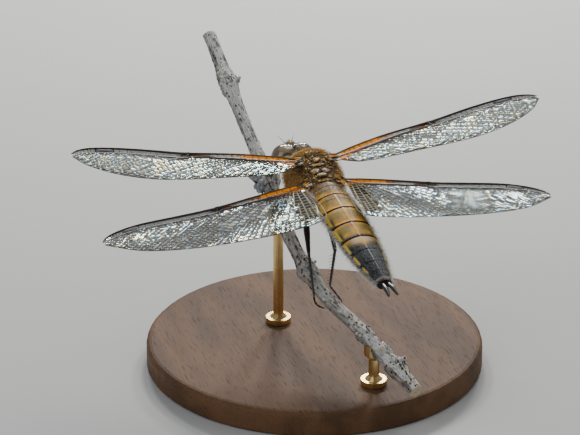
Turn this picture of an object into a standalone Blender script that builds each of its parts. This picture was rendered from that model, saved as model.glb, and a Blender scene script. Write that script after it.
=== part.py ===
"""A four-spotted chaser dragonfly, Libellula quadrimaculata, as a life-size display model.

The insect grips a cut length of twig. Two brass rods carry the twig over a round wooden base.
The constants are millimetres and degrees; the meshes are metres, through MM.
The insect is modelled in its own frame: +Y to the head, +X to its right, +Z to its back, with
the origin in the middle of the thorax. One empty lifts that frame over the base, nose up.
The world origin is the middle of the base's underside.
"""

import math

import bmesh
import bpy
from mathutils import Euler, Matrix, Vector

MM = 0.001
GAP = 0.12                      # parting cut between neighbouring pieces
SHARP_ANGLE = 50

# Where the insect sits over the base.
BODY_CENTRE = (0.0, -2.0, 34.0)
BODY_PITCH = 12.0

# Stand.
BASE_RADIUS = 29.0
BASE_HEIGHT = 4.5
BASE_EDGE = 0.9                 # radius of the rounded top edge
BASE_BEVEL = 0.4                # bevel of the lower edge
BASE_SEGMENTS = 64
ROD_RADIUS = 0.9
ROD_FOOT_RADIUS = 2.2
ROD_FOOT_HEIGHT = 0.9
ROD_FILLET = 0.6
CRADLE_RADIUS = 1.7
CRADLE_HEIGHT = 2.6
ROD_SEGMENTS = 16
ROD_PLACES = {"stand_rod_rear": -20.5, "stand_rod_front": 7.5}

# Twig: its axis as (y, x, z) in the world, and its swellings as (y, extra radius, half length).
TWIG_AXIS = (
    (-31.0, 7.3, 7.6),
    (-26.1, 5.7, 9.6),
    (-16.7, 2.2, 13.3),
    (-8.3, -1.4, 16.6),
    (2.9, -3.8, 22.9),
    (12.5, -4.4, 29.2),
    (24.4, -5.7, 37.1),
    (39.2, -7.1, 47.2),
)
TWIG_RADIUS = 1.22
TWIG_KNOTS = (
    (-26.0, 0.60, 1.7),
    (-22.4, 0.30, 0.8),
    (-18.2, 0.35, 1.1),
    (-4.2, 0.55, 1.9),
    (13.0, 0.95, 2.0),
    (30.2, 0.60, 1.9),
)
TWIG_RINGS = 40

# Thorax and neck: (y, top, bottom, half width), out to the tips of the hair.
THORAX = (
    (-3.6, 2.5, -3.4, 2.8),
    (-2.2, 3.3, -5.1, 3.9),
    (0.5, 3.9, -6.0, 4.7),
    (3.0, 4.0, -6.2, 4.9),
    (5.2, 3.5, -6.0, 4.6),
    (6.6, 2.5, -5.2, 3.7),
    (7.5, 1.2, -4.0, 2.6),
)
PROTHORAX = ((7.62, 0.4, -3.7, 2.1), (8.4, 0.3, -3.8, 2.1), (9.6, 0.0, -3.4, 1.7))
TRUNK_POWER = 2.2               # superellipse power of the trunk's section

# Head: its centre, turned a little off the trunk's line, and in its own frame the centre and
# radii of each rounded mass.
HEAD_CENTRE = (-1.1, 10.7, -1.9)
EYE = ((1.5, 0.2, 0.1), (2.3, 2.2, 2.4))
CRANIUM = ((0.0, -0.55, -0.3), (2.7, 1.95, 2.25))
FACE = ((0.0, 1.9, 0.0), (1.5, 1.6, 2.0))
MOUTH = ((0.0, 1.2, -2.2), (1.6, 1.8, 1.3))
ANTENNA = ((0.55, 2.6, 1.1), (1.0, 3.75, 1.55), (1.6, 4.8, 1.7))
FEELER_RADIUS = 0.25

# Abdomen: its front end, its pitch and yaw, the lengths of its ten rings, and its section as
# (distance from the front, half width, rise of the back, drop of the belly).
ABDOMEN_FRONT = (0.0, -3.72, 1.1)
ABDOMEN_PITCH = -2.1
ABDOMEN_YAW = 3.0
RING_LENGTHS = (1.0, 2.5, 3.9, 4.1, 3.9, 3.4, 3.0, 2.3, 1.5, 0.9)
ABDOMEN = (
    (0.0, 2.4, 1.35, 2.1),
    (3.5, 3.0, 1.45, 2.2),
    (7.0, 3.3, 1.50, 2.2),
    (12.0, 3.3, 1.50, 2.1),
    (16.5, 3.0, 1.45, 2.0),
    (19.5, 2.65, 1.35, 1.9),
    (22.0, 2.25, 1.20, 1.7),
    (24.3, 1.70, 1.05, 1.4),
    (26.5, 1.15, 0.85, 1.0),
)
BACK_POWER = 1.7                # the back is a low roof with a keel
BELLY_POWER = 2.3
CERCUS = ((0.45, -26.6, 0.3), (0.62, -28.4, 0.55), (0.75, -30.2, 0.45))
CERCUS_RADII = (0.32, 0.40, 0.27)
EPIPROCT = ((0.0, -26.6, -0.5), (0.0, -28.4, -0.45))
EPIPROCT_RADII = (0.45, 0.28)

# Wings: hinge, length, and outline. Angles and bend are (pair's mean, what its right adds).
# The outline's rows are (place along the edge, share of the length, millimetres forward).
WING_THICKNESS = 0.5
WINGS = {
    "forewing": dict(
        hinge=(2.6, 2.6, 3.2), length=38.5, sweep=(11.0, -1.5), dihedral=(4.5, 2.3),
        twist=(-7.1, -1.7), washout=4.0, bend=(0.032, -0.018),
        lead=((0.0, 0.03, 0.0), (0.12, 0.12, 0.55), (0.28, 0.28, 0.85), (0.51, 0.51, 0.2),
              (0.7, 0.7, 0.15), (0.83, 0.83, -0.25), (0.91, 0.925, -1.05),
              (0.97, 0.98, -2.3), (1.0, 0.998, -3.3)),
        trail=((0.0, 0.03, -2.6), (0.1, 0.10, -5.0), (0.35, 0.35, -7.2), (0.62, 0.62, -8.9),
               (0.8, 0.80, -8.3), (0.93, 0.93, -6.4), (1.0, 0.994, -4.2)),
    ),
    "hindwing": dict(
        hinge=(3.1, -2.1, 1.6), length=35.8, sweep=(-4.0, -3.0), dihedral=(-9.2, 2.2),
        twist=(-8.6, 0.0), washout=1.0, bend=(0.073, -0.03),
        lead=((0.0, 0.02, 0.0), (0.12, 0.12, 0.4), (0.25, 0.25, 0.5), (0.45, 0.45, 0.25),
              (0.7, 0.7, 0.35), (0.81, 0.82, 0.05), (0.91, 0.925, -1.2), (0.97, 0.98, -2.7),
              (1.0, 0.998, -3.9)),
        trail=((0.0, 0.0, -8.5), (0.03, 0.005, -12.0), (0.08, 0.045, -13.6),
               (0.20, 0.20, -13.6), (0.45, 0.45, -12.3), (0.65, 0.65, -10.9), (0.85, 0.85, -8.6),
               (1.0, 0.994, -4.9)),
    ),
}
WING_BEND_START = 0.15          # share of the length where the upward bend begins
WING_STATIONS = 22
WING_CHORDS = 5

# Legs: the coxa's root and tip, the knee, and the foot on the twig, at its ankle and its toe:
# (y, angle round the twig from its top towards the insect's right, height off the bark).
LEGS = {
    "front_left": dict(root=(-1.2, 5.2, -4.4), coxa=(-2.0, 5.6, -6.3), knee=(-6.2, 6.4, -5.4),
                       ankle=(8.6, -75, 0.3), toe=(11.0, -100, 0.0)),
    "front_right": dict(root=(1.2, 5.2, -4.4), coxa=(1.6, 5.8, -6.3), knee=(1.9, 9.4, -7.4),
                        ankle=(6.8, 40, 0.3), toe=(9.2, 65, 0.0)),
    "middle_left": dict(root=(-1.3, 2.9, -4.6), coxa=(-2.1, 3.4, -6.4), knee=(-7.0, 3.0, -6.2),
                        ankle=(3.4, -80, 0.3), toe=(5.9, -105, 0.0)),
    "middle_right": dict(root=(1.3, 2.9, -4.6), coxa=(2.0, 2.8, -6.8), knee=(4.4, 3.4, -9.4),
                         ankle=(4.0, 40, 0.3), toe=(6.3, 70, 0.0)),
    "hind_left": dict(root=(-1.3, 0.5, -4.6), coxa=(-2.0, -0.6, -6.8), knee=(-3.25, -6.7, -9.3),
                      ankle=(-9.0, -75, 1.0), toe=(-9.9, -140, 0.2)),
    "hind_right": dict(root=(1.3, 0.5, -4.6), coxa=(2.0, -0.6, -6.8), knee=(1.2, -7.3, -9.1),
                       ankle=(-8.6, 30, 0.3), toe=(-11.2, 55, 0.0)),
}
COXA_RADII = (0.95, 0.62)
FEMUR_RADII = (0.50, 0.62, 0.42)
TIBIA_RADII = (0.36, 0.33, 0.28)
TARSUS_RADII = (0.26, 0.26, 0.25)
TARSUS_STEPS = 4
JOINT_GAP = 0.18

COLOURS = {
    "chitin_brown": ((0.16, 0.09, 0.035), 0.55, 0.0),
    "chitin_tan": ((0.36, 0.22, 0.07), 0.45, 0.0),
    "chitin_black": ((0.02, 0.02, 0.022), 0.35, 0.0),
    "eye_shell": ((0.12, 0.09, 0.07), 0.15, 0.0),
    "face_shell": ((0.42, 0.36, 0.12), 0.4, 0.0),
    "wing_membrane": ((0.55, 0.48, 0.36), 0.25, 0.0),
    "twig_bark": ((0.34, 0.31, 0.28), 0.9, 0.0),
    "walnut": ((0.10, 0.05, 0.025), 0.4, 0.0),
    "brass": ((0.72, 0.52, 0.22), 0.3, 1.0),
}


def clear_scene():
    """Remove the objects the scene opens with."""
    for obj in list(bpy.data.objects):
        bpy.data.objects.remove(obj, do_unlink=True)


def collection(name):
    """A new collection in the scene."""
    group = bpy.data.collections.new(name)
    bpy.context.scene.collection.children.link(group)
    return group


def material(name):
    """The Principled material of that name, made once."""
    found = bpy.data.materials.get(name)
    if found:
        return found
    colour, roughness, metallic = COLOURS[name]
    made = bpy.data.materials.new(name)
    made.use_nodes = True
    shader = made.node_tree.nodes["Principled BSDF"]
    shader.inputs["Base Color"].default_value = (*colour, 1.0)
    shader.inputs["Roughness"].default_value = roughness
    shader.inputs["Metallic"].default_value = metallic
    return made


def smooth(stations, x):
    """The values at x of a smooth curve through rows (x, value, ...) in rising order of x."""
    last = len(stations) - 1
    at = min(last - 1, max(0, sum(x >= row[0] for row in stations) - 1))
    start, end = stations[at], stations[at + 1]
    before, after = stations[max(at - 1, 0)], stations[min(at + 2, last)]
    span = end[0] - start[0]
    t = (x - start[0]) / span
    values = []
    for p, q, r, s in zip(before[1:], start[1:], end[1:], after[1:]):
        leave = (r - p) * span / (end[0] - before[0])
        arrive = (s - q) * span / (after[0] - start[0])
        values.append(
            q * (1 + 2 * t) * (1 - t) ** 2 + leave * t * (1 - t) ** 2
            + r * t * t * (3 - 2 * t) - arrive * t * t * (1 - t)
        )
    return values


def add_object(name, bm, slot, group, parent=None):
    """Link a bmesh drawn in millimetres as an object in metres, shaded smooth."""
    bmesh.ops.recalc_face_normals(bm, faces=bm.faces)
    bmesh.ops.scale(bm, vec=(MM, MM, MM), verts=bm.verts)
    mesh = bpy.data.meshes.new(name)
    bm.to_mesh(mesh)
    bm.free()
    mesh.shade_smooth()
    mesh.set_sharp_from_angle(angle=math.radians(SHARP_ANGLE))
    obj = bpy.data.objects.new(name, mesh)
    group.objects.link(obj)
    obj.data.materials.append(material(slot))
    obj.parent = parent
    return obj


def trim(obj, *cutters):
    """Cut each of the hidden cutters out of an object."""
    for cutter in cutters:
        cut = obj.modifiers.new("cut " + cutter.name, "BOOLEAN")
        cut.operation = "DIFFERENCE"
        cut.solver = "EXACT"
        cut.object = cutter


def hide(cutter):
    """Mark an object as a construction guide."""
    cutter.hide_render = True
    cutter.display_type = "WIRE"
    return cutter


def drum(around, along):
    """A closed unit drum on Z, with `along` bands of `around` faces."""
    bm = bmesh.new()
    bmesh.ops.create_cone(bm, cap_ends=True, segments=around, radius1=1, radius2=1, depth=1)
    uprights = [e for e in bm.edges if abs(e.verts[0].co.z - e.verts[1].co.z) > 0.5]
    bmesh.ops.subdivide_edges(bm, edges=uprights, cuts=along - 1)
    return bm


def power_curve(value, power):
    """One coordinate of a superellipse of that power."""
    return math.copysign(abs(value) ** (2 / power), value)


def trunk(stations, around, along, grow=0.0):
    """A rounded trunk along +Y through stations (y, top, bottom, half width)."""
    bm = drum(around, along)
    first, last = stations[0][0], stations[-1][0]
    for vert in bm.verts:
        y = first + (last - first) * (vert.co.z + 0.5)
        angle = math.atan2(vert.co.y, vert.co.x)
        top, bottom, half = smooth(stations, y)
        middle = (top + bottom) / 2
        rise = (top - bottom) / 2 + grow
        vert.co = (
            (half + grow) * power_curve(math.cos(angle), TRUNK_POWER),
            y,
            middle + rise * power_curve(math.sin(angle), TRUNK_POWER),
        )
    ends = {first: -grow, last: grow}
    for vert in bm.verts:
        for y, shift in ends.items():
            if abs(vert.co.y - y) < GAP / 10:
                vert.co.y += shift
    return bm


def ellipsoid(centre, radii, segments=16, rings=10, grow=0.0):
    """A closed ellipsoid, with its poles up and down."""
    bm = bmesh.new()
    bmesh.ops.create_uvsphere(bm, u_segments=segments, v_segments=rings, radius=1)
    bmesh.ops.scale(bm, vec=[r + grow for r in radii], verts=bm.verts)
    bmesh.ops.translate(bm, vec=centre, verts=bm.verts)
    return bm


def limb(name, points, radii, slot, group, parent=None, sides=1):
    """A rod through the points: a bevelled curve turned into a welded mesh."""
    curve = bpy.data.curves.new(name, "CURVE")
    curve.dimensions = "3D"
    curve.bevel_depth = MM
    curve.bevel_resolution = sides
    curve.use_fill_caps = True
    spline = curve.splines.new("POLY")
    spline.points.add(len(points) - 1)
    for i, (knot, point) in enumerate(zip(spline.points, points)):
        knot.co = (*(Vector(point) * MM), 1)
        place = i / (len(points) - 1) * (len(radii) - 1)
        low = min(int(place), len(radii) - 2)
        knot.radius = radii[low] + (radii[low + 1] - radii[low]) * (place - low)
    guide = bpy.data.objects.new(name + " guide", curve)
    group.objects.link(guide)
    bpy.context.view_layer.update()
    evaluated = guide.evaluated_get(bpy.context.evaluated_depsgraph_get())
    mesh = bpy.data.meshes.new_from_object(evaluated)
    bpy.data.objects.remove(guide, do_unlink=True)
    bm = bmesh.new()
    bm.from_mesh(mesh)
    bpy.data.meshes.remove(mesh)
    bmesh.ops.remove_doubles(bm, verts=bm.verts, dist=MM / 1000)
    bmesh.ops.scale(bm, vec=(1 / MM, 1 / MM, 1 / MM), verts=bm.verts)
    return add_object(name, bm, slot, group, parent)


# Twig

def twig_axis(y):
    """The point of the twig's axis at y."""
    x, z = smooth(TWIG_AXIS, y)
    return Vector((x, y, z))


def twig_radius(y):
    """The twig's radius at y, with its knots."""
    swell = sum(extra * math.exp(-((y - at) / half) ** 2) for at, extra, half in TWIG_KNOTS)
    return TWIG_RADIUS + swell


def on_twig(y, angle, clearance):
    """A point that far off the bark, at an angle from the twig's top to the insect's right."""
    along = (twig_axis(y + TWIG_RADIUS) - twig_axis(y - TWIG_RADIUS)).normalized()
    right = along.cross(Vector((0, 0, 1))).normalized()
    top = right.cross(along)
    turn = math.radians(angle)
    reach = twig_radius(y) + clearance
    return twig_axis(y) + (top * math.cos(turn) + right * math.sin(turn)) * reach


def build_twig(group):
    """The cut length of twig that the insect grips."""
    first, last = TWIG_AXIS[0][0], TWIG_AXIS[-1][0]
    places = [first + (last - first) * i / TWIG_RINGS for i in range(TWIG_RINGS + 1)]
    points = [twig_axis(y) for y in places]
    radii = [twig_radius(y) for y in places]
    limb("perch_twig", points, radii, "twig_bark", group, sides=2)


# Stand

def turned(name, profile, segments, slot, group, location=(0, 0, 0)):
    """A solid of revolution on Z, from an outer profile of (radius, height), top to bottom."""
    bm = bmesh.new()
    verts = [bm.verts.new((radius, 0, height)) for radius, height in profile]
    for upper, lower in zip(verts, verts[1:]):
        bm.edges.new((upper, lower))
    bmesh.ops.spin(
        bm, geom=bm.verts[:] + bm.edges[:], cent=(0, 0, 0), axis=(0, 0, 1),
        angle=math.tau, steps=segments, use_merge=True,
    )
    bmesh.ops.remove_doubles(bm, verts=bm.verts, dist=GAP / 100)
    obj = add_object(name, bm, slot, group)
    obj.location = Vector(location) * MM
    return obj


def build_stand(group, cutters):
    """The round base and the rods, each with a cradle cut to the twig."""
    edge = [
        (BASE_RADIUS - BASE_EDGE * (1 - math.sin(a)), BASE_HEIGHT - BASE_EDGE * (1 - math.cos(a)))
        for a in (math.radians(step) for step in (0, 30, 60, 90))
    ]
    foot = [(BASE_RADIUS, BASE_BEVEL), (BASE_RADIUS - BASE_BEVEL, 0)]
    profile = [(0, BASE_HEIGHT)] + edge + foot + [(0, 0)]
    turned("stand_base", profile, BASE_SEGMENTS, "walnut", group)
    for name, y in ROD_PLACES.items():
        seat = twig_axis(y)
        floor = BASE_HEIGHT + GAP
        top = seat.z - floor
        waist = top - CRADLE_HEIGHT
        flare = CRADLE_RADIUS - ROD_RADIUS
        profile = [
            (0, top), (CRADLE_RADIUS, top), (CRADLE_RADIUS, waist + flare),
            (ROD_RADIUS, waist), (ROD_RADIUS, ROD_FOOT_HEIGHT + ROD_FILLET),
            (ROD_RADIUS + ROD_FILLET, ROD_FOOT_HEIGHT), (ROD_FOOT_RADIUS, ROD_FOOT_HEIGHT),
            (ROD_FOOT_RADIUS, 0), (0, 0),
        ]
        rod = turned(name, profile, ROD_SEGMENTS, "brass", group, (seat.x, seat.y, floor))
        reach = 2 * CRADLE_RADIUS
        places = [y + reach * step for step in (-1, -0.5, 0, 0.5, 1)]
        groove = limb(
            name + " groove", [twig_axis(p) for p in places],
            [twig_radius(p) + GAP for p in places], "twig_bark", cutters, sides=2,
        )
        trim(rod, hide(groove))


# Body

def build_trunk(group, cutters, body):
    """Thorax and neck. Returns the cutter that parts other pieces from the thorax."""
    add_object("thorax", trunk(THORAX, 22, 11), "chitin_brown", group, body)
    add_object("prothorax", trunk(PROTHORAX, 14, 3), "chitin_brown", group, body)
    grown = trunk(THORAX, 22, 11, grow=GAP)
    return hide(add_object("thorax cutter", grown, "chitin_brown", cutters, body))


def eye_mass(side, grow=0.0):
    """One compound eye, flat where it meets the other."""
    (x, y, z), radii = EYE
    bm = ellipsoid((side * x, y, z), radii, grow=grow)
    seam = GAP / 2 - grow
    for vert in bm.verts:
        vert.co.x = side * max(side * vert.co.x, seam)
    return bm


def build_head(group, cutters, body):
    """Eyes, cranium, face, mouthparts and feelers, in the head's own frame."""
    frame = bpy.data.objects.new("head frame", None)
    group.objects.link(frame)
    frame.parent = body
    frame.location = Vector(HEAD_CENTRE) * MM
    earlier = []
    for side, hand in ((-1, "left"), (1, "right")):
        add_object("eye_" + hand, eye_mass(side), "eye_shell", group, frame)
        grown = eye_mass(side, grow=GAP)
        cutter = add_object("eye cutter " + hand, grown, "eye_shell", cutters, frame)
        earlier.append(hide(cutter))
    masses = (("head", CRANIUM, "chitin_brown"), ("face", FACE, "face_shell"),
              ("mouthparts", MOUTH, "face_shell"))
    for name, (centre, radii), slot in masses:
        piece = add_object(name, ellipsoid(centre, radii), slot, group, frame)
        trim(piece, *earlier)
        grown = ellipsoid(centre, radii, grow=GAP)
        earlier.append(hide(add_object(name + " cutter", grown, slot, cutters, frame)))
    trim(bpy.data.objects["prothorax"], *earlier[:3])
    for side, hand in ((-1, "left"), (1, "right")):
        points = [(side * x, y, z) for x, y, z in ANTENNA]
        feeler = limb("antenna_" + hand, points, (FEELER_RADIUS, FEELER_RADIUS),
                      "chitin_black", group, frame)
        trim(feeler, *earlier)


def abdomen_ring(start, end):
    """One ring of the abdomen, from start to end behind the abdomen's front."""
    bm = drum(18, 2)
    for vert in bm.verts:
        distance = start + (end - start) * (vert.co.z + 0.5)
        angle = math.atan2(vert.co.y, vert.co.x)
        half, rise, drop = smooth(ABDOMEN, distance)
        upper = math.sin(angle) >= 0
        power, height = (BACK_POWER, rise) if upper else (BELLY_POWER, drop)
        vert.co = (
            half * power_curve(math.cos(angle), power),
            -distance,
            height * power_curve(math.sin(angle), power),
        )
    return bm


def build_abdomen(group, body, thorax_cutter):
    """The ten rings of the abdomen and the claspers at its tip."""
    axis = bpy.data.objects.new("abdomen axis", None)
    group.objects.link(axis)
    axis.parent = body
    axis.location = Vector(ABDOMEN_FRONT) * MM
    axis.rotation_euler = (math.radians(-ABDOMEN_PITCH), 0, math.radians(ABDOMEN_YAW))
    start = 0.0
    for number, length in enumerate(RING_LENGTHS, start=1):
        slot = "chitin_tan" if number < 6 else "chitin_black"
        ring = abdomen_ring(start, start + length - GAP)
        shell = add_object("abdomen_%d" % number, ring, slot, group, axis)
        start += length
        if number == 1:
            trim(shell, thorax_cutter)
    for side, hand in ((-1, "left"), (1, "right")):
        points = [(side * x, y, z) for x, y, z in CERCUS]
        limb("cercus_" + hand, points, CERCUS_RADII, "chitin_black", group, axis)
    limb("epiproct", EPIPROCT, EPIPROCT_RADII, "chitin_black", group, axis)


# Wings

def sided(pair, side):
    """A (mean, bias) pair's value on one side."""
    mean, bias = pair
    return mean + side * bias


def wing_surface(wing, side):
    """The wing's middle surface: span along X, chord along Y, bent up towards the tip."""
    bm = bmesh.new()
    bmesh.ops.create_grid(bm, x_segments=WING_STATIONS, y_segments=WING_CHORDS, size=0.5)
    for vert in bm.verts:
        along = 1 - (0.5 - vert.co.x) ** 1.4
        across = 0.5 - vert.co.y
        lead = Vector(smooth(wing["lead"], along))
        trail = Vector(smooth(wing["trail"], along))
        span, chord = lead.lerp(trail, across)
        rise = sided(wing["bend"], side) * max(0, span - WING_BEND_START) ** 2
        tilt = math.radians(wing["washout"]) * span
        vert.co = (
            side * span * wing["length"],
            chord * math.cos(tilt),
            rise * wing["length"] + chord * math.sin(tilt),
        )
    return bm


def build_wings(group, body, thorax_cutter):
    """Two pairs of wings, each a thin plate trimmed to the thorax."""
    for name, wing in WINGS.items():
        for side, hand in ((-1, "left"), (1, "right")):
            plate = add_object(name + "_" + hand, wing_surface(wing, side), "wing_membrane",
                               group, body)
            x, y, z = wing["hinge"]
            plate.location = Vector((side * x, y, z)) * MM
            twist, dihedral, sweep = (
                sided(wing[key], side) for key in ("twist", "dihedral", "sweep")
            )
            turns = (twist, -side * dihedral, side * sweep)
            plate.rotation_euler = Euler([math.radians(a) for a in turns])
            shell = plate.modifiers.new("thickness", "SOLIDIFY")
            shell.thickness = WING_THICKNESS * MM
            shell.offset = 0
            trim(plate, thorax_cutter)


# Legs

def shorten(start, end, by_start, by_end):
    """The two ends of a limb, each drawn back along it."""
    along = (end - start).normalized()
    return start + along * by_start, end - along * by_end


def build_leg(name, leg, group, body, thorax_cutter):
    """Coxa, femur, tibia and tarsus of one leg, from the thorax to the twig."""
    to_body = body_matrix().inverted()
    root, hip, knee = (Vector(leg[key]) for key in ("root", "coxa", "knee"))
    off_bark = TARSUS_RADII[0] + GAP
    foot = []
    for i in range(TARSUS_STEPS + 1):
        share = i / TARSUS_STEPS
        y, angle, lift = (a + (b - a) * share for a, b in zip(leg["ankle"], leg["toe"]))
        foot.append(to_body @ on_twig(y, angle, off_bark + lift))
    ankle = foot[0]
    coxa = limb(name + "_coxa", shorten(root, hip, 0, JOINT_GAP), COXA_RADII, "chitin_black",
                group, body)
    trim(coxa, thorax_cutter)
    femur = shorten(hip, knee, COXA_RADII[1], JOINT_GAP)
    limb(name + "_femur", [femur[0], femur[0].lerp(femur[1], 0.35), femur[1]], FEMUR_RADII,
         "chitin_black", group, body)
    tibia = shorten(knee, ankle, FEMUR_RADII[-1] + GAP, TARSUS_RADII[0] + GAP)
    limb(name + "_tibia", [tibia[0], tibia[0].lerp(tibia[1], 0.5), tibia[1]], TIBIA_RADII,
         "chitin_black", group, body)
    limb(name + "_tarsus", foot, TARSUS_RADII, "chitin_black", group, body)


def body_matrix():
    """The insect's frame in the world, in millimetres."""
    return Matrix.Translation(BODY_CENTRE) @ Matrix.Rotation(math.radians(BODY_PITCH), 4, "X")


def main():
    """Build the whole model."""
    clear_scene()
    parts = collection("dragonfly")
    cutters = collection("cutters")
    body = bpy.data.objects.new("body frame", None)
    parts.objects.link(body)
    body.location = Vector(BODY_CENTRE) * MM
    body.rotation_euler = (math.radians(BODY_PITCH), 0, 0)
    build_stand(parts, cutters)
    build_twig(parts)
    thorax_cutter = build_trunk(parts, cutters, body)
    build_head(parts, cutters, body)
    build_abdomen(parts, body, thorax_cutter)
    build_wings(parts, body, thorax_cutter)
    for name, leg in LEGS.items():
        build_leg(name, leg, parts, body, thorax_cutter)


main()
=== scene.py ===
# %% [markdown]
# # A four-spotted chaser, life size, on its display twig
# The solid model gives the insect's size, pose and main shapes. This lesson dresses it: a net of
# veins and clear cells for each wing, ringed shell plates for the abdomen, a furred thorax, glossy
# eyes, spined legs, rough bark, and a turned walnut stand with brass rods.
# Lengths are written in millimetres and turned into metres when a piece is finished.

# %% Load the frame
import math
import random
from functools import partial
import bmesh
import bpy
import numpy as np
from mathutils import Euler, Matrix, Vector, noise


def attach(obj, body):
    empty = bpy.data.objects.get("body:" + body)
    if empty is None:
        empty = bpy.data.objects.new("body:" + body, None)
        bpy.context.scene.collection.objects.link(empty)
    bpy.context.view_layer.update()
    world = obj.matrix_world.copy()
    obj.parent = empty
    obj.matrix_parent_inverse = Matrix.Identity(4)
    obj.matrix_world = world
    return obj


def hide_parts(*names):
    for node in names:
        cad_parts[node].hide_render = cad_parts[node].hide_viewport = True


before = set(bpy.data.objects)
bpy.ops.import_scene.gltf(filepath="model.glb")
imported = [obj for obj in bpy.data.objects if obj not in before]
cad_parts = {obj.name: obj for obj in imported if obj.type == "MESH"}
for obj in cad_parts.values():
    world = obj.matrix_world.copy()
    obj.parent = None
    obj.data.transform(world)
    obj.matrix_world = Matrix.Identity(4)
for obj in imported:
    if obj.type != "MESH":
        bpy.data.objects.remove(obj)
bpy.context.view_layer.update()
MM = 0.001
noise.seed_set(4)               # vector noise would otherwise start from the clock

# %% [markdown]
# ## Where the insect sits
# The solids were drawn in the insect's own frame: forward along Y, its right along X, its back up
# along Z, with the origin inside the thorax. Matrices repeat those places, so a new piece can be
# drawn round its own origin and then put where its solid is.

# %% Frames of the insect
BODY = Matrix.Translation((0, -2, 34)) @ Matrix.Rotation(math.radians(12), 4, "X")
HEAD = BODY @ Matrix.Translation((-1.1, 10.7, -1.9))
ABDOMEN = BODY @ Matrix.Translation((0, -3.72, 1.1)) @ Euler(
    [math.radians(a) for a in (2.1, 0, 3.0)]).to_matrix().to_4x4()
BODY_CENTRE = BODY.to_translation()
SIDES = ((-1, "left"), (1, "right"))
print("middle of the thorax at", [round(v, 1) for v in BODY_CENTRE])


def smooth(stations, x):
    """The values at x of a smooth curve through rows (x, value, ...) in rising order of x."""
    last = len(stations) - 1
    at = min(last - 1, max(0, sum(x >= row[0] for row in stations) - 1))
    start, end = stations[at], stations[at + 1]
    before, after = stations[max(at - 1, 0)], stations[min(at + 2, last)]
    span = end[0] - start[0]
    t = (x - start[0]) / span
    values = []
    for p, q, r, s in zip(before[1:], start[1:], end[1:], after[1:]):
        leave = (r - p) * span / (end[0] - before[0])
        arrive = (s - q) * span / (after[0] - start[0])
        values.append(
            q * (1 + 2 * t) * (1 - t) ** 2 + leave * t * (1 - t) ** 2
            + r * t * t * (3 - 2 * t) - arrive * t * t * (1 - t)
        )
    return values


def ease(low, high, x):
    """0 below low, 1 above high, and a soft step between."""
    t = min(1.0, max(0.0, (x - low) / (high - low)))
    return t * t * (3 - 2 * t)


def bell(x, centre, width):
    """1 at the centre, falling away smoothly on both sides."""
    return math.exp(-((x - centre) / width) ** 2)


# %% [markdown]
# ## Writing materials as sums
# A finish is a tree of nodes. Placing each node by hand hides the idea, so a small class wraps a
# socket and gives it plus, minus, times and divide, `|` for either of two masks, and abs(). A line
# such as `base * 0.5 + grain` then adds the Math nodes itself. Colours and vectors go through Mix
# and Vector Math nodes instead.

# %% Value and Finish
class Value:
    """A shader socket that can stand in a sum."""

    def __init__(self, finish, socket):
        self.finish, self.socket = finish, socket

    def __add__(self, other):
        return self.finish.maths("ADD", self, other)

    def __sub__(self, other):
        return self.finish.maths("SUBTRACT", self, other)

    def __rsub__(self, other):
        return self.finish.maths("SUBTRACT", other, self)

    def __mul__(self, other):
        return self.finish.maths("MULTIPLY", self, other)

    def __truediv__(self, other):
        return self.finish.maths("DIVIDE", self, other)

    def __or__(self, other):
        """Either of two masks: the larger one."""
        return self.finish.maths("MAXIMUM", self, other)

    def __abs__(self):
        return self.finish.maths("ABSOLUTE", self)

    __radd__ = __add__
    __rmul__ = __mul__


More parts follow.
